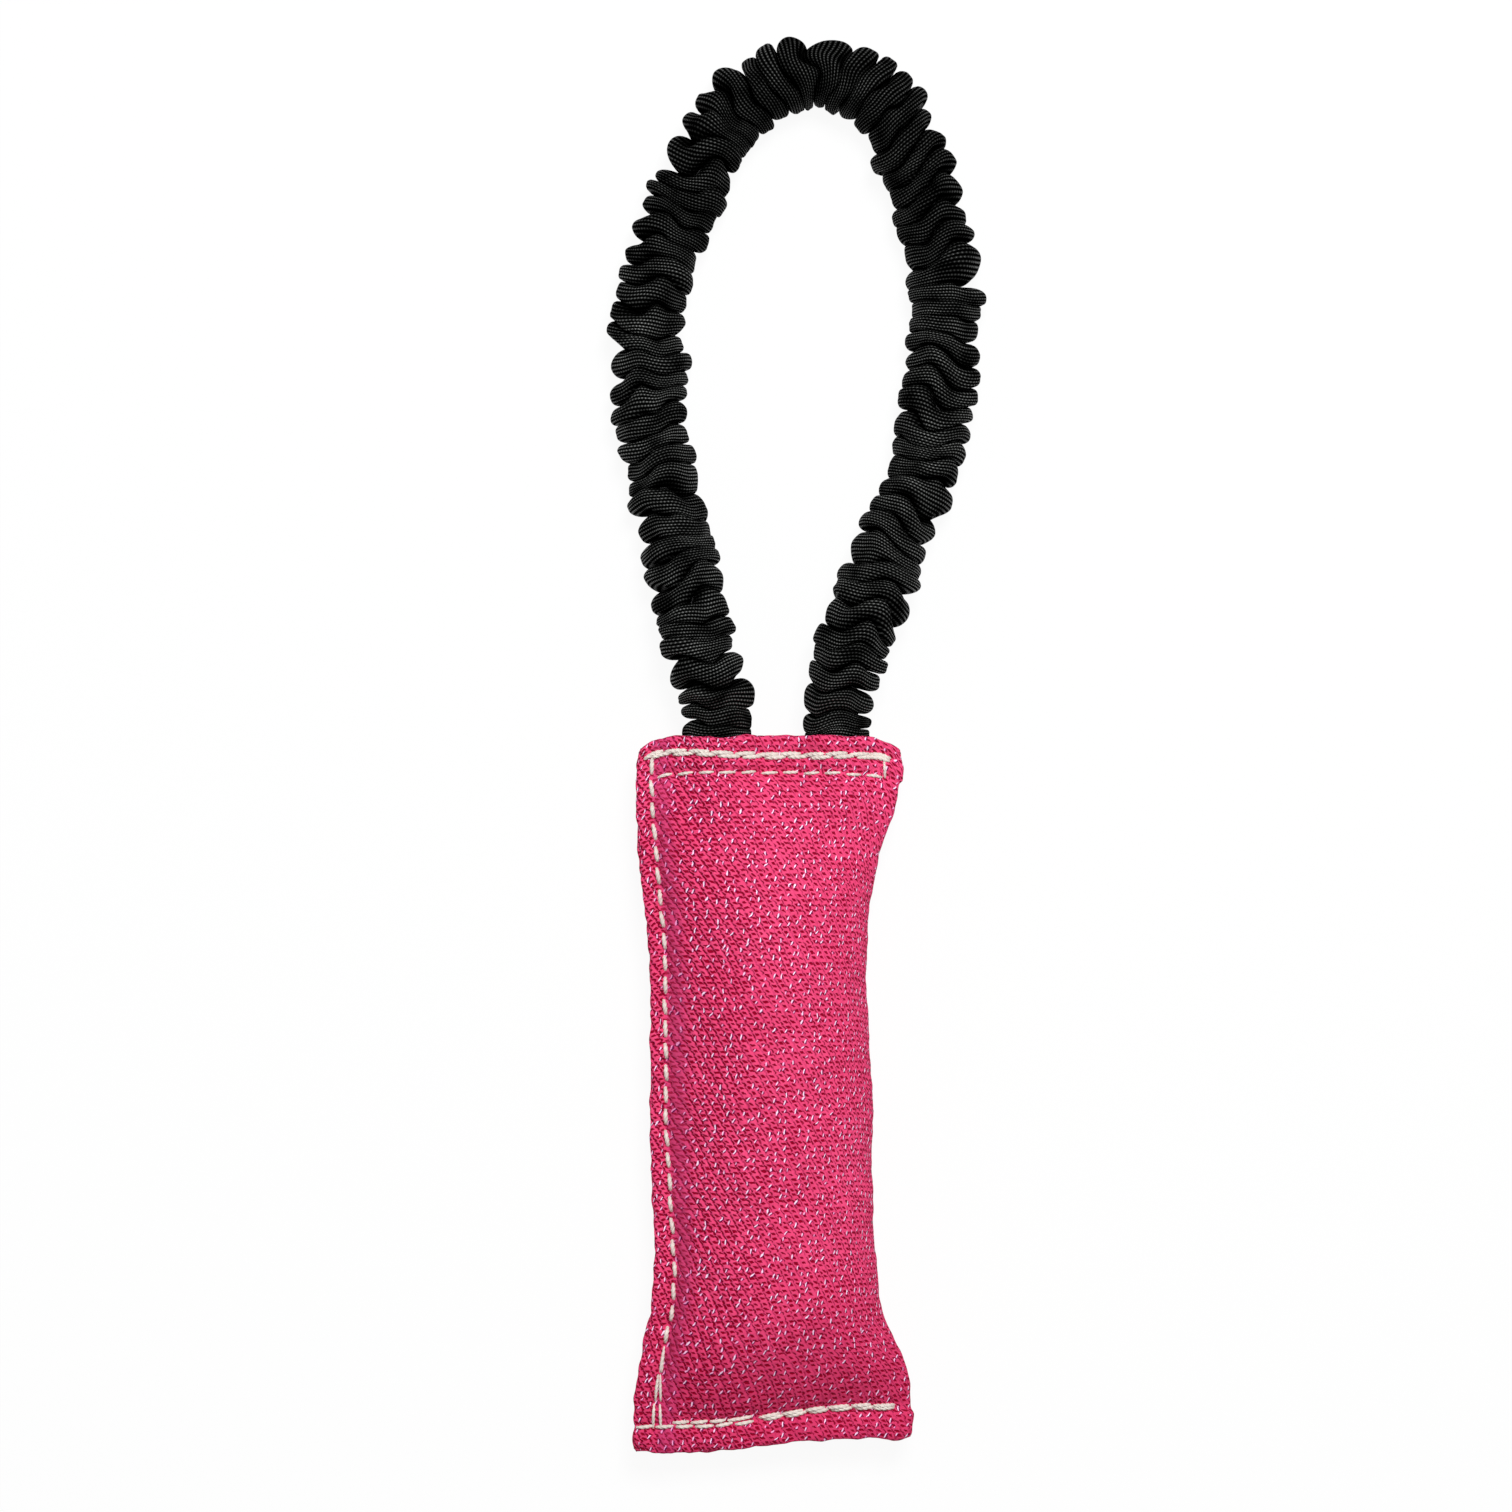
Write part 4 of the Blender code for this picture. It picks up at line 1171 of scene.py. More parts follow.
@dataclass(frozen=True)
class PillowPlan:
    """The pillow seen from above: its outline, its margins and where its seams run."""

    length: float = 0.1995
    waist: float = 0.0305
    margin_at_top: float = 0.0042
    margin_at_bottom: float = 0.0068
    margin_dip: float = 0.0013
    top_margin: float = 0.0046
    rows_apart: float = 0.0050
    bottom_margin: float = 0.0078
    gutter: float = 0.0013
    top_corner_drop: float = 0.0040
    bottom_rise: float = 0.0038
    bottom_rise_start_share: float = 0.19
    bottom_rise_width_share: float = 0.62
    middle_z: float = 0.0141
    corner_share: float = 0.12
    left_shares: Shares = (
        (0.00, 1.16), (0.07, 1.15), (0.14, 1.08), (0.21, 0.99), (0.35, 0.98), (0.50, 1.00),
        (0.64, 1.00), (0.76, 1.04), (0.86, 1.11), (0.93, 1.13), (1.00, 1.12),
    )
    right_shares: Shares = (
        (0.00, 1.38), (0.05, 1.41), (0.10, 1.36), (0.15, 1.19), (0.21, 1.09), (0.30, 1.03), (0.44, 1.02),
        (0.56, 1.00), (0.68, 0.96), (0.78, 1.01), (0.85, 1.10), (0.90, 1.24), (0.95, 1.30), (1.00, 1.28),
    )

    @property
    def body_start(self) -> float:
        """Share of the length at which the stuffed part starts."""
        return (self.bottom_margin + self.gutter) / self.length

    @property
    def body_end(self) -> float:
        """Share of the length at which the stuffed part ends."""
        return 1 - (self.top_margin + self.rows_apart + self.gutter) / self.length

    def body_shares(self, rows: int) -> np.ndarray:
        """Shares of the length at even steps over the stuffed part."""
        return self.body_start + (self.body_end - self.body_start) * np.linspace(0, 1, rows + 1)

    def side(self, shares: Shares, share: Any) -> np.ndarray:
        """Distance of one side from the middle at shares of the length."""
        knots, values = zip(*shares)
        return natural_spline(knots, values, np.clip(share, 0, 1)) * self.waist

    def left(self, share: Any) -> np.ndarray:
        """The left edge."""
        return -self.side(self.left_shares, share)

    def right(self, share: Any) -> np.ndarray:
        """The right edge, where the cloth is folded."""
        return self.side(self.right_shares, share)

    def margin(self, share: Any) -> np.ndarray:
        """Width of the left margin, from the cloth's edge to the stitches."""
        share = np.asarray(share)
        even = self.margin_at_bottom + (self.margin_at_top - self.margin_at_bottom) * share
        return even - self.margin_dip * np.sin(math.pi * np.clip(share, 0, 1)) ** 2

    def seam(self, share: Any) -> np.ndarray:
        """The line of the side seam's stitches."""
        return self.left(share) + self.margin(share)

    def top_y(self, across: np.ndarray) -> np.ndarray:
        """The top edge at shares of the width, lower at its corners."""
        to_corner = np.minimum(across, 1 - across) / self.corner_share
        return self.length / 2 - self.top_corner_drop * np.maximum(0, 1 - to_corner) ** 2

    def bottom_y(self, across: np.ndarray) -> np.ndarray:
        """The bottom edge at shares of the width, which rises to the right."""
        risen = smooth_step((across - self.bottom_rise_start_share) / self.bottom_rise_width_share)
        return -self.length / 2 + self.bottom_rise * risen

    def y(self, x: Any, share: Any) -> np.ndarray:
        """Height in plan of the points at x on the row at a share of the length."""
        left, right = self.left(share), self.right(share)
        across = np.clip((np.asarray(x) - left) / (right - left), 0, 1)
        low = self.bottom_y(across)
        return low + share * (self.top_y(across) - low)

    def rounded(self, x: np.ndarray, share: float, radius: float) -> tuple[np.ndarray, np.ndarray]:
        """A row of points in plan, with the outline's four corners rounded.

        Args:
            x: Places across, before rounding.
            share: The row's share of the length.
            radius: Radius of the corners.

        Returns:
            The points' x and y.
        """
        y = self.y(x, share)
        for side in (-1, 1):
            edge = self.left(share) if side < 0 else self.right(share)
            inward = (radius - side * (edge - x)) / radius
            for end in (0.0, 1.0):
                limit = self.y(x, end)
                upward = (radius - np.abs(limit - y)) / radius
                both = (inward > 0) & (upward > 0)
                p, q = (np.where(both, np.minimum(part, 1), 0) for part in (inward, upward))
                bent_p, bent_q = p * np.sqrt(1 - q * q / 2), q * np.sqrt(1 - p * p / 2)
                x = x - side * (p - bent_p) * radius
                y = y - (1 if end else -1) * (q - bent_q) * radius
        return x, y


@dataclass(frozen=True)
class Rumples:
    """The cover's ribs, lumps and puckers, in millimetres of height and of the cloth."""

    rib_height: Pair = (0.12, 0.05)
    lumps: tuple[Shares, Shares] = (((17, 0.14), (9.3, 0.08)), ((23, 0.16), (7.1, 0.07)))
    puckers: tuple[Shares, Shares] = (((7.9, 0.11), (4.7, 0.08)), ((10.9, 0.13), (5.3, 0.07)))
    ribs_kept_at_edge: float = 0.4
    stitch_dent: float = 0.60
    dent_radius: float = 1.25

    def height(self, across: np.ndarray, along: np.ndarray, edge: np.ndarray) -> np.ndarray:
        """How far the cloth stands out.

        Args:
            across: Places across the cloth.
            along: Places along it.
            edge: 1 in the margins, 0 on the stuffed part.

        Returns:
            The height at each place.
        """
        cloth = PinkCloth()
        line = across + along * cloth.twill_shift / cloth.row
        opened = smooth_step((across - cloth.gathered_to) / (cloth.open_from - cloth.gathered_to))
        gathered, spread = self.rib_height
        rib = np.cos(TURN * line / cloth.column) * ((gathered - spread) * opened - gathered)
        lump = ripple(across * 0.8 + along * 0.5, self.lumps[0])
        lump += ripple(along - across * 0.35, self.lumps[1], 1.3)
        pucker = ripple(along * 0.85 + across * 0.5, self.puckers[0])
        pucker += ripple(across - along * 0.3, self.puckers[1], 0.7)
        return rib * (1 - (1 - self.ribs_kept_at_edge) * edge) + lump + edge * pucker


@dataclass(frozen=True)
class BlownCloth:
    """Settings of the simulation that blows the sewn bag up, at a larger scale than the toy's."""

    scale: float = 10.0
    frames: int = 40
    quality: int = 7
    mass: float = 0.4
    tension_stiffness: float = 40
    compression_stiffness: float = 40
    shear_stiffness: float = 12
    bending_stiffness: float = 6
    tension_damping: float = 12
    compression_damping: float = 12
    air_damping: float = 2
    uniform_pressure_force: float = 14.0

    def run(
        self, points: np.ndarray, flat: np.ndarray, faces: list[list[int]], pins: list[int]
    ) -> np.ndarray:
        """Run Blender's cloth on a closed mesh.

        Args:
            points: The mesh's points.
            flat: The same points where the cloth is flat and unstretched.
            faces: The mesh's faces.
            pins: Points that the seams hold.

        Returns:
            The points at the last frame.
        """
        thing = link_object("simulated", plain_mesh("simulated", points * self.scale, faces))
        thing.shape_key_add(name="start")
        key = thing.shape_key_add(name="flat")
        key.data.foreach_set("co", (flat * self.scale).astype(np.float32).ravel())
        group = thing.vertex_groups.new(name="seams")
        group.add(pins, 1.0, "REPLACE")
        cloth = thing.modifiers.new("Cloth", "CLOTH")
        for name, value in vars(self).items():
            if name not in ("scale", "frames"):
                setattr(cloth.settings, name, value)
        cloth.settings.use_pressure = True
        cloth.settings.vertex_group_mass = group.name
        cloth.settings.rest_shape_key = key
        cloth.settings.effector_weights.gravity = 0
        cloth.collision_settings.use_collision = False
        cloth.point_cache.frame_start = 1
        cloth.point_cache.frame_end = self.frames
        scene = bpy.context.scene
        for number in range(1, self.frames + 1):
            scene.frame_set(number)
        result = evaluated_mesh(thing)
        found = read_points(result.vertices) / self.scale
        bpy.data.objects.remove(thing)
        bpy.data.meshes.remove(result)
        scene.frame_set(1)
        return found


@dataclass
class Pillow:
    """The stuffed cover: simulated between its seams, with turned-in margins, and its stuffing.

    A lane is a column or row of points outside the stuffed part. A side lane is its share of the
    margin, its offset, its height and its place on the cloth. An end lane is its offset from the
    end, its height and its place on the cloth. Offsets, heights and places are in millimetres.
    """

    plan: PillowPlan
    height: float = 0.0290
    flat_width: float = 0.0715
    cloth_rise: float = 0.00085
    fold_inset: float = 0.0004
    fold_swell: float = 0.0009
    swell_power: float = 2.3
    end_swell_share: float = 0.25
    even_spread_share: float = 0.45
    start_fullness: float = 0.92
    bottom_fill: float = 0.38
    bottom_fill_run: Pair = (0.013, 0.047)
    top_slack: float = 0.10
    top_slack_run: Pair = (0.012, 0.045)
    fullness: float = 0.75
    stuffing_share: float = 0.90
    columns: int = 30
    rows: int = 76
    corner_radius: float = 0.0021
    seam_rise: float = 1.9
    floor_gap: float = 0.00005
    mouths: Pair = (-0.01144, 0.02103)
    mouth_bulge: float = 0.0042
    mouth_half_width: float = 0.0149
    mouth_depth: float = 0.0175
    side_lanes: tuple[tuple[float, float, float, float], ...] = (
        (0.0, 0.85, 0.12, -1.9), (0.0, 0.16, 0.34, -1.1), (0.0, 0.00, 0.86, -0.5), (0.0, 0.40, 1.42, 0.3),
        (0.0, 1.20, 1.80, 1.2), (0.5, 0.00, 1.88, 0.0), (0.8, 0.00, 1.58, 0.0), (1.0, 0.00, 0.98, 0.0),
    )
    bottom_lanes: tuple[Triple, ...] = (
        (0.85, 0.12, -1.9), (0.16, 0.34, -1.1), (0.00, 0.86, -0.5), (0.45, 1.45, 0.3), (1.35, 1.86, 1.3),
        (3.20, 1.96, 3.2), (5.20, 1.86, 5.2), (6.70, 1.50, 6.7), (7.80, 0.98, 7.8),
    )
    top_lanes: tuple[Triple, ...] = (
        (9.60, 0.98, 9.6), (8.50, 1.42, 8.5), (7.10, 1.66, 7.1), (5.70, 1.45, 5.7), (4.60, 1.00, 4.6),
        (3.60, 1.46, 3.6), (2.40, 1.82, 2.4), (1.20, 1.80, 1.2), (0.42, 1.42, 0.4), (0.00, 0.86, -0.4),
        (0.16, 0.34, -1.1), (0.85, 0.12, -1.9), (5.00, 0.12, -6.0), (9.00, 0.12, -10.0),
    )

    def build(self, holes: np.ndarray) -> None:
        """Make the cover and the stuffing, and hang them on the pillow's body.

        Args:
            holes: Places in plan where the stitches draw the cloth in.
        """
        self.holes = holes
        front, back = self.stuffed()
        self.cover = self.make_cover(front, back)
        self.hang(self.cover, "pillow_cover")
        self.hang(self.make_stuffing(front, back), "pillow_filling")

    def hang(self, thing: bpy.types.Object, node: str) -> None:
        """Hang a padded piece on the pillow's body in the place of a node."""
        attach(thing, "pillow")
        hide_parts(node)
        LOG.info("%s: %d faces", thing.name, len(thing.data.polygons))

    # The stuffed part

    def start_shape(self) -> tuple[np.ndarray, np.ndarray]:
        """The stuffed part before simulation, as grids of points of the front and the back."""
        plan, power = self.plan, self.swell_power
        width = np.linspace(0, 1, self.columns + 1)
        front = np.zeros((self.rows + 1, self.columns + 1, 3))
        across = np.sin(math.pi / 2 * width) * (1 - self.even_spread_share) + width * self.even_spread_share
        for row, share in enumerate(plan.body_shares(self.rows)):
            even = row / self.rows
            to_end = min(even, 1 - even) / self.end_swell_share
            rise = 1 - max(0, 1 - to_end) ** power
            seam = float(plan.seam(share)) + plan.gutter
            right = float(plan.right(share)) - self.cloth_rise
            spread = across * rise + width * (1 - rise)
            x = seam + spread * (right - seam)
            section = np.sqrt(np.maximum(0, 1 - np.abs(2 * spread - 1) ** power))
            front[row, :, 0] = x
            front[row, :, 1] = plan.y(x, share)
            front[row, :, 2] = section * rise * (self.height / 2 - self.cloth_rise) * self.start_fullness
        return front, front * (1, 1, -1)

    def stuffed(self) -> tuple[np.ndarray, np.ndarray]:
        """The front and the back of the stuffed part, blown up by simulation."""
        front, back = self.start_shape()
        front, back = self.simulate(front, back)
        for layer in (front, back):
            self.fill_out(layer)
        scale = (self.height / 2 - self.cloth_rise) / max(front[:, :, 2].max(), -back[:, :, 2].min())
        for layer in (front, back):
            layer[:, :, 2] *= scale
        return front, back

    def fill_out(self, layer: np.ndarray) -> None:
        """Let the folded side reach its outline, and the stuffing fill the bottom end."""
        plan = self.plan
        shares = plan.body_shares(self.rows)
        seam = layer[:, :1, 0]
        reach = (plan.right(shares) - self.fold_inset)[:, None] - seam
        layer[:, :, 0] = seam + (layer[:, :, 0] - seam) * reach / (layer[:, -1:, 0] - seam)
        fuller = np.ones(len(shares))
        for to_end, more, (start, run) in (
            (shares - plan.body_start, self.bottom_fill, self.bottom_fill_run),
            (plan.body_end - shares, -self.top_slack, self.top_slack_run),
        ):
            fuller += more * (1 - smooth_step((to_end * plan.length - start) / run))
        layer[:, :, 2] *= fuller[:, None]

    def simulate(self, front: np.ndarray, back: np.ndarray) -> tuple[np.ndarray, np.ndarray]:
        """Blow the sewn bag up with its seams held in place.

        Args:
            front: Grid of points of the front.
            back: Grid of points of the back.

        Returns:
            The two grids after simulation.
        """
        rows, columns = self.rows + 1, self.columns + 1
        number = np.arange(rows * columns).reshape(rows, columns)
        behind = number.copy()
        inner = behind[1:-1, 1:-1]
        behind[1:-1, 1:-1] = number.max() + 1 + np.arange(inner.size).reshape(inner.shape)
        points = np.concatenate([front.reshape(-1, 3), back[1:-1, 1:-1].reshape(-1, 3)])
        length = (self.plan.body_end - self.plan.body_start) * self.plan.length
        width_shares, length_shares = np.meshgrid(np.linspace(0, 1, columns), np.linspace(0, 1, rows))
        level = np.zeros_like(width_shares)
        flat = np.dstack([width_shares * self.flat_width, length_shares * length, level])
        flat = np.concatenate([flat.reshape(-1, 3), flat[1:-1, 1:-1].reshape(-1, 3)])
        pairs = zip(grid_faces(number), grid_faces(behind))
        faces = [face for ahead, below in pairs for face in (ahead, below[::-1])]
        pins = sorted({int(k) for k in (*number[0], *number[-1], *number[:, 0])})
        found = BlownCloth().run(points, flat, faces, pins)
        return found[number], found[behind]

    # The cover

    def bulge(self, x: np.ndarray, into_body: float) -> np.ndarray:
        """How far a layer is lifted by the handle's two ends between the layers, but for its fold."""
        found = np.zeros_like(x)
        for mouth in self.mouths:
            reach = np.minimum(np.abs(x - mouth) / self.mouth_half_width, 1)
            found += self.mouth_bulge * (1 + np.cos(math.pi * reach)) / 2
        found[-1] = 0
        return found * (1 - smooth_step(into_body / self.mouth_depth))

    def cloth_row(self, share: float, run: float, body: np.ndarray, edge: float) -> np.ndarray:
        """The places on the cloth of a row of points, in millimetres.

        Args:
            share: The row's share of the length.
            run: The row's place along the cloth.
            body: Shares of the cloth's flat width at the points right of the seam.
            edge: 1 where these points are in a margin too, 0 where they are stuffed.

        Returns:
            Place across, place along, and 1 in the margins.
        """
        part, _, _, cloth = np.array(self.side_lanes).T
        side = float(self.plan.margin(share)) * (part - 1) / MM + cloth
        across = np.concatenate([side, (self.plan.gutter + body * self.flat_width) / MM])
        in_margin = np.concatenate([np.ones(len(side)), np.full(len(body), edge)])
        return np.column_stack([across, np.full(len(across), run), in_margin])

    def margin_x(self, share: float) -> np.ndarray:
        """The left margin's points on a row, from the cloth's edge to the stitches."""
        part, offset, _, _ = np.array(self.side_lanes).T
        return float(self.plan.left(share)) + float(self.plan.margin(share)) * part + offset * MM

    def flat_row(self, share: float, rise: float, run: float) -> tuple[np.ndarray, np.ndarray]:
        """A row of the front layer outside the stuffed part.

        Args:
            share: The row's share of the length.
            rise: Height of the layer over the middle plane, in millimetres.
            run: The row's place along the cloth, in millimetres.

        Returns:
            The row's points, and their places on the cloth in millimetres.
        """
        plan = self.plan
        even = np.linspace(0, 1, self.columns + 1)
        right = float(plan.right(share)) + self.fold_swell
        start = float(plan.seam(share)) + plan.gutter
        inner = start + (right - start) * even
        to_fold = np.maximum(0, 1 - (right - inner) / (rise * MM + 1e-5))
        side = np.array(self.side_lanes)[:, 2]
        side = np.minimum(side, rise) if rise < 1 else side * rise / self.seam_rise
        height = np.concatenate([side, rise * np.sqrt(np.maximum(0, 1 - to_fold**2))])
        x, y = plan.rounded(np.concatenate([self.margin_x(share), inner]), share, self.corner_radius)
        lift = self.bulge(x, 0.0) if share > 0.5 else 0.0
        return np.column_stack([x, y, height * MM + lift]), self.cloth_row(share, run, even, 1.0)

    def body_row(
        self, share: float, line: np.ndarray, normals: np.ndarray, facing: int
    ) -> tuple[np.ndarray, np.ndarray]:
        """A row of one layer of the stuffed part, with the margin beside it.

        Args:
            share: The row's share of the length.
            line: The row of the layer's grid.
            normals: The layer's normals there.
            facing: 1 for the front, -1 for the back.

        Returns:
            The row's points over the middle plane, and their places on the cloth in millimetres.
        """
        plan = self.plan
        x = self.margin_x(share)
        side = np.column_stack([x, plan.y(x, share), np.array(self.side_lanes)[:, 2] * MM])
        body = (line + normals * self.cloth_rise * facing) * (1, 1, facing)
        body[0, 2] = max(body[0, 2], self.cloth_rise)
        body[-1, 2] = 0
        points = np.concatenate([side, body])
        points[:, 2] += self.bulge(points[:, 0], (plan.body_end - share) * plan.length)
        even = np.linspace(0, 1, self.columns + 1)
        return points, self.cloth_row(share, share * plan.length / MM, even, 0.0)

    def layer_rows(self, layer: np.ndarray, facing: int) -> tuple[np.ndarray, np.ndarray]:
        """All rows of one layer, from the bottom groove to the pocket at the top."""
        length = self.plan.length
        normals = np.cross(np.gradient(layer, axis=1), np.gradient(layer, axis=0))
        normals /= np.maximum(np.linalg.norm(normals, axis=2, keepdims=True), 1e-12)
        found = [self.flat_row(offset * MM / length, rise, run) for offset, rise, run in self.bottom_lanes]
        for share, line, normal in zip(self.plan.body_shares(self.rows), layer, normals):
            found.append(self.body_row(share, line, normal, facing))
        for offset, rise, run in self.top_lanes:
            found.append(self.flat_row(1 - offset * MM / length, rise, length / MM - run))
        points, places = zip(*found)
        return np.array(points), np.array(places)

    def make_cover(self, front: np.ndarray, back: np.ndarray) -> bpy.types.Object:
        """The cover's outside as one closed surface.

        Args:
            front: Grid of the stuffed part's front.
            back: Grid of its back.

        Returns:
            The cover.
        """
        upper, upper_place = self.layer_rows(front, 1)
        lower, lower_place = self.layer_rows(back, -1)
        lower[:, :, 2] *= -1
        upper[:, -1] = (upper[:, -1] + lower[:, -1]) / 2
        lower_place[:, :, 0] = 2 * (self.plan.gutter + self.flat_width) / MM - lower_place[:, :, 0]
        loop = np.concatenate([upper, lower[:, -2::-1]], axis=1)
        places = np.concatenate([upper_place, lower_place[:, -2::-1]], axis=1)
        loop[:, :, 2] += self.plan.middle_z
        number = np.arange(loop[:, :, 0].size).reshape(loop.shape[:2])
        faces = grid_faces(number, closed=True)
        for line, turn in ((number[0], -1), (number[-1], 1)):
            for near in range(len(line) // 2):
                far = len(line) - 1 - near
                corners = list(dict.fromkeys(int(line[k]) for k in (near, near + 1, far - 1, far)))
                if len(corners) > 2:
                    faces.append(corners[::turn])
        mesh = plain_mesh("pillow_cover_cloth", loop, faces)
        attribute = mesh.attributes.new("cloth", "FLOAT_VECTOR", "POINT")
        attribute.data.foreach_set("vector", places.astype(np.float32).ravel())
        thing = link_object("pillow_cover_cloth", mesh)
        thing.data.materials.append(PinkCloth().material())
        smooth = thing.modifiers.new("Smooth", "SUBSURF")
        smooth.levels = smooth.render_levels = 2
        thing.data = evaluated_mesh(thing)
        thing.modifiers.clear()
        self.rumple(thing.data)
        thing.data.shade_smooth()
        return thing

    def rumple(self, mesh: bpy.types.Mesh) -> None:
        """Give the smooth cover its ribs and lumps, and lay it on the floor."""
        points = read_points(mesh.vertices)
        normals = read_points(mesh.vertex_normals, "vector")
        across, along, edge = read_points(mesh.attributes["cloth"].data, "vector").T
        rumples = Rumples()
        drawn_in = np.zeros(len(points))
        for hole in self.holes:
            far = (points[:, 0] - hole[0]) ** 2 + (points[:, 1] - hole[1]) ** 2
            drawn_in = np.maximum(drawn_in, np.exp(-far / (rumples.dent_radius * MM) ** 2))
        height = rumples.height(across, along, np.clip(edge, 0, 1)) - drawn_in * rumples.stitch_dent
        points += normals * (height * MM)[:, None]
        points[:, 2] = np.maximum(points[:, 2], self.floor_gap)
        mesh.vertices.foreach_set("co", points.astype(np.float32).ravel())
        mesh.update()

    def make_stuffing(self, front: np.ndarray, back: np.ndarray) -> bpy.types.Object:
        """The fibre inside, a little smaller than the stuffed part."""
        inside = [layer[2:-2:2, 1:-1:2] * (1, 1, self.stuffing_share) for layer in (front, back)]
        grid = np.concatenate([inside[0], inside[1][:, ::-1]], axis=1)
        grid[:, :, 2] += self.plan.middle_z
        number = np.arange(grid[:, :, 0].size).reshape(grid.shape[:2])
        faces = grid_faces(number, closed=True) + [number[0][::-1].tolist(), number[-1].tolist()]
        mesh = plain_mesh("pillow_stuffing", grid, faces)
        mesh.shade_smooth()
        mesh.materials.append(StuffingFibre().material())
        return link_object("pillow_stuffing", mesh)


# Stitches


class Face(Enum):
    """A face of the pillow by the thread that lies on it, and where it looks along Z."""

    NEEDLE = 1
    BOBBIN = -1


@dataclass(frozen=True)
class Strand:
    """One line of thread, in stitches of one pitch.

    A stitch is as long as its share of the pitch and as thick as its width. The strand starts
    later by its shift, a share of the pitch, and runs aside of its line, to the left.
    """

    line: np.ndarray
    pitch: float
    share: float
    width: float
    shift: float = 0.0
    aside: float = 0.0


@dataclass
class LaidThread:
    """Twisted stitches along short curves, as a geometry tree."""

    samples: int = 15
    sides: int = 15
    plies: float = 3.0
    ply_depth: float = 0.15
    twist_length: float = 0.0042
    end_power: float = 0.45
    thinnest: float = 0.02

    def __post_init__(self) -> None:
        """Write the tree: each curve's own radius is the stitch's, thin where it enters the cloth."""
        self.board = GeometryBoard("laid_thread")
        board = self.board
        curves = board.object_shape("Stitches")
        samples = board.ask("Samples", Ask.COUNT)
        sides = board.ask("Sides", Ask.COUNT)
        plies = board.ask("Plies")
        ply_depth = board.ask("Ply Depth")
        turns = board.ask("Turn Per Metre")
        soft = board.node("GeometryNodeCurveSplineType", {"Curve": curves}, spline_type="CATMULL_ROM")
        plugs = {"Curve": soft.outputs[0], "Count": samples}
        even = board.node("GeometryNodeResampleCurve", plugs).outputs[0]
        parameter = board.node("GeometryNodeSplineParameter")
        factor = Quantity(board, parameter.outputs["Factor"])
        length = Quantity(board, parameter.outputs["Length"])
        radius = Quantity(board, board.node("GeometryNodeInputRadius").outputs[0])
        lens = board.limit(board.sine(factor * math.pi), self.thinnest, 1.0) ** self.end_power
        sized = board.node("GeometryNodeSetCurveRadius", {"Curve": even, "Radius": radius * lens}).outputs[0]
        turned = board.node("GeometryNodeSetCurveTilt", {"Curve": sized, "Tilt": length * turns}).outputs[0]
        ring = board.node("GeometryNodeCurvePrimitiveCircle", {"Resolution": sides, "Radius": 1.0}).outputs[0]
        place = board.node("GeometryNodeInputPosition").outputs[0]
        x, y, _ = board.split(place)
        lobes = board.cosine(board.math("ARCTAN2", y, x) * plies) * ply_depth + 1.0
        plugs = {"Geometry": ring, "Position": board.stretch(place, lobes)}
        shaped = board.node("GeometryNodeSetPosition", plugs).outputs[0]
        plugs = {"Curve": turned, "Profile Curve": shaped, "Fill Caps": True, "Scale": radius}
        board.close(board.node("GeometryNodeCurveToMesh", plugs).outputs[0])

    def grow(self, name: str, line: bpy.types.Object, finish: bpy.types.Material) -> bpy.types.Object:
        """Lay a thread along the curves of an object.

        Args:
            name: Name of the piece.
            line: The curves, one for each stitch.
            finish: The thread's material.

        Returns:
            The piece.
        """
        values = {
            "Stitches": line,
            "Samples": self.samples,
            "Sides": self.sides,
            "Plies": self.plies,
            "Ply Depth": self.ply_depth,
            "Turn Per Metre": TURN / self.twist_length,
            "Finish": finish,
        }
        return self.board.grow(name, values)


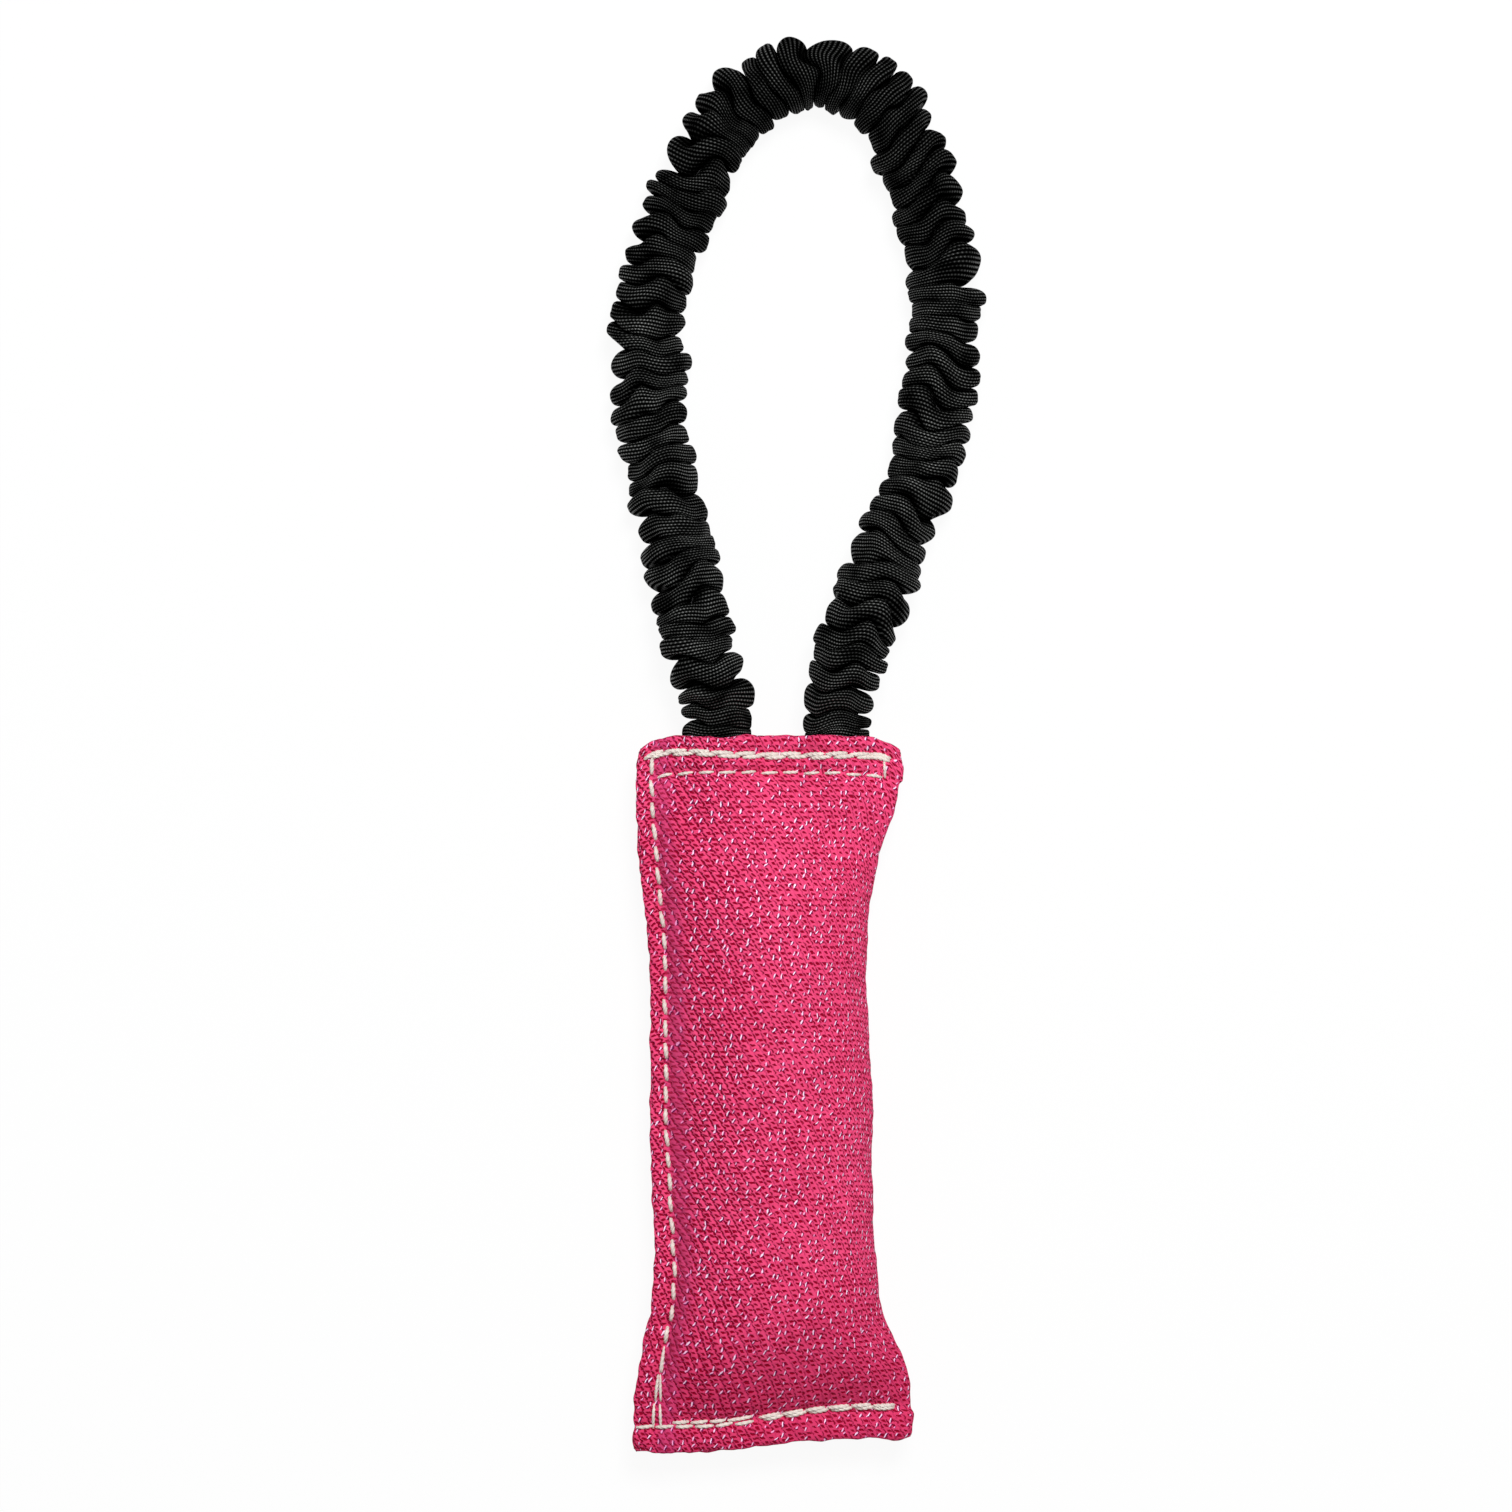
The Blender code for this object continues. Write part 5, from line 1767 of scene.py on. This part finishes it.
@dataclass
class Stitching:
    """The six threads: needle thread on the front and bobbin thread on the back of three seams.

    A stitch has five points: their reaches are shares of half its length, their slants are
    shares of how far it leans, and their lifts are shares of the thread's width.
    """

    plan: PillowPlan
    pitch: float = 0.0060
    side_start: float = 0.0942
    parting_y: float = -0.0700
    side_end: float = -0.0938
    side_waves: Shares = ((0.031, 0.00016), (0.012, 0.00010))
    row_ends: Pair = (-0.0329, 0.0363)
    second_row_ends: Pair = (-0.0293, 0.0346)
    closing_x: float = 0.0347
    bottom_ends: Pair = (-0.0349, 0.0377)
    double_end: float = -0.0006
    thread: float = 0.00126
    bobbin_share: float = 0.84
    reaches: tuple[float, ...] = (-1, -0.78, 0, 0.78, 1)
    slants: tuple[float, ...] = (-1, -0.7, 0, 0.7, 1)
    lifts: tuple[float, ...] = (-0.62, 0.18, 0.34, 0.18, -0.62)
    slant: float = 0.00014
    stray: float = 0.00010

    def across(self, share: float, ends: Pair) -> np.ndarray:
        """A line across the pillow, on the row at a share of its length."""
        x = np.linspace(*ends, 60)
        return np.column_stack([x, self.plan.y(x, share)])

    def side_line(self) -> np.ndarray:
        """The side seam, from the top down to where it parts."""
        y = np.linspace(self.side_start, self.parting_y, 120)
        x = self.plan.seam(y / self.plan.length + 0.5) + 0.0001
        return np.column_stack([x + ripple(y, self.side_waves), y])

    def parted_line(self, start: np.ndarray, aside: float) -> np.ndarray:
        """One of the two strands into which the side seam parts at the bottom."""
        y = np.linspace(self.parting_y, self.side_end, 30)
        x = self.plan.seam(y / self.plan.length + 0.5)
        down = (self.parting_y - y) / (self.parting_y - self.side_end)
        x += (start[0] - x[0]) * (1 - down) + aside * smooth_step(down)
        return np.column_stack([x, y])

    def seams(self) -> dict[str, list[Strand]]:
        """The strands of each seam."""
        plan, pitch, thread = self.plan, self.pitch, self.thread
        first = self.across(1 - plan.top_margin / plan.length, self.row_ends)
        first[:, 1] -= 0.0010 * smooth_step((first[:, 0] + 0.022) / 0.022)
        second = self.across(1 - (plan.top_margin + plan.rows_apart) / plan.length, self.second_row_ends)
        bowed = np.abs(second[:, 0] - 0.003) / 0.032
        second[:, 1] -= 0.0003 + 0.0005 * smooth_step((second[:, 0] + 0.022) / 0.030) + 0.0013 * bowed**3
        top, low = (float(np.interp(self.closing_x, *line.T)) for line in (first, second))
        closing = np.array([(self.closing_x, top - 0.0004), (self.closing_x, low)])
        bottom = self.across(plan.bottom_margin / plan.length, self.bottom_ends)
        bottom[:, 1] += 0.0014 * smooth_step((bottom[:, 0] + 0.016) / 0.050)
        double = bottom[bottom[:, 0] < self.double_end]
        single = bottom[bottom[:, 0] >= self.double_end - 0.001]
        side = self.side_line()
        return {
            "side": [
                Strand(side, pitch, 0.73, thread),
                Strand(self.parted_line(side[-1], -0.0011), 0.0076, 0.97, thread * 0.74),
                Strand(self.parted_line(side[-1], 0.0010), 0.0084, 0.96, thread * 0.70),
            ],
            "top": [
                Strand(first, pitch * 1.06, 0.96, thread * 1.05, 0.10, 0.00042),
                Strand(first, pitch * 1.06, 0.92, thread * 1.00, 0.42, -0.00040),
                Strand(second, pitch * 0.98, 0.76, thread * 0.72),
                Strand(closing, 0.0041, 0.94, thread * 0.66),
            ],
            "bottom": [
                Strand(double, pitch * 0.93, 0.92, thread * 0.86, 0.0, -0.00055),
                Strand(double[6:], pitch * 0.95, 0.90, thread * 0.86, 0.55, 0.00062),
                Strand(single, pitch, 0.94, thread * 1.02, 0.0, 0.00034),
                Strand(single, pitch, 0.90, thread * 0.98, 0.16, -0.00036),
            ],
        }

    def spans(self, strand: Strand) -> list[np.ndarray]:
        """The stitches of a strand, each as five points in plan."""
        along = distances(strand.line)
        count = max(1, int(round(along[-1] / strand.pitch)))
        pitch = along[-1] / count
        found = []
        for number in range(count):
            middle = (number + 0.5) * pitch + (strand.shift * pitch if number < count - 1 else 0)
            reach = pitch * strand.share * (0.5 + 0.03 * math.sin(number * 2.7))
            places = np.clip(middle + reach * np.array(self.reaches), 0, along[-1])
            x, y = (np.interp(places, along, strand.line[:, k]) for k in (0, 1))
            run = np.array([x[-1] - x[0], y[-1] - y[0]])
            run /= max(float(np.hypot(*run)), 1e-9)
            slant = np.array(self.slants) * (self.slant + self.stray * math.sin(number * 1.9))
            off = strand.aside + slant + self.stray * math.sin(number * 3.3)
            found.append(np.column_stack([x - run[1] * off, y + run[0] * off]))
        return found

    def holes(self) -> np.ndarray:
        """Where the needle went through the cloth."""
        strands = [strand for seam in self.seams().values() for strand in seam]
        return np.array([span[k] for strand in strands for span in self.spans(strand) for k in (0, -1)])

    def build(self, cover: bpy.types.Object) -> None:
        """Lay the six threads on the cover and hang them on the pillow's body.

        Args:
            cover: The finished cover.
        """
        points = [tuple(v.co) for v in cover.data.vertices]
        self.skin = BVHTree.FromPolygons(points, [tuple(face.vertices) for face in cover.data.polygons])
        self.laid = LaidThread()
        finish = WhiteThread().material()
        for seam, strands in self.seams().items():
            for face in Face:
                self.thread_piece(f"{seam}_seam_{face.name.lower()}_thread", strands, face, finish)

    def thread_piece(self, name: str, strands: list[Strand], face: Face, finish: bpy.types.Material) -> None:
        """Make one seam's thread on one face of the pillow.

        Args:
            name: The CAD's node that it stands for.
            strands: The seam's strands.
            face: The face that it lies on.
            finish: The thread's material.
        """
        data = bpy.data.curves.new(name, "CURVE")
        data.dimensions = "3D"
        for strand in strands:
            width = strand.width * (1.0 if face is Face.NEEDLE else self.bobbin_share)
            for span in self.spans(strand):
                spline = data.splines.new("POLY")
                spline.points.add(len(span) - 1)
                for point, (x, y), lift in zip(spline.points, span, self.lifts):
                    z = self.surface(x, y, face) + face.value * lift * width
                    point.co = (x, y, max(z, 0.0), 1)
                    point.radius = width / 2
        line = link_object(name + "_line", data)
        thing = self.laid.grow(name + "_stitches", line, finish)
        bpy.data.objects.remove(line)
        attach(thing, "pillow")
        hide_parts(name)
        LOG.info("%s: %d faces", thing.name, len(thing.data.polygons))

    def surface(self, x: float, y: float, face: Face) -> float:
        """Height of the cover's front or back at a place."""
        above, inward = Vector((x, y, 0.1 * face.value)), Vector((0, 0, -face.value))
        hit, _, _, _ = self.skin.ray_cast(above, inward)
        return hit.z if hit else self.plan.middle_z


def main() -> None:
    """Build the toy and its studio."""
    logging.basicConfig(level=logging.INFO, format="%(message)s")
    Studio().build()
    Handle(HandleLine()).build()
    plan = PillowPlan()
    stitching = Stitching(plan)
    pillow = Pillow(plan)
    pillow.build(stitching.holes())
    stitching.build(pillow.cover)


if __name__ == "__main__":
    main()
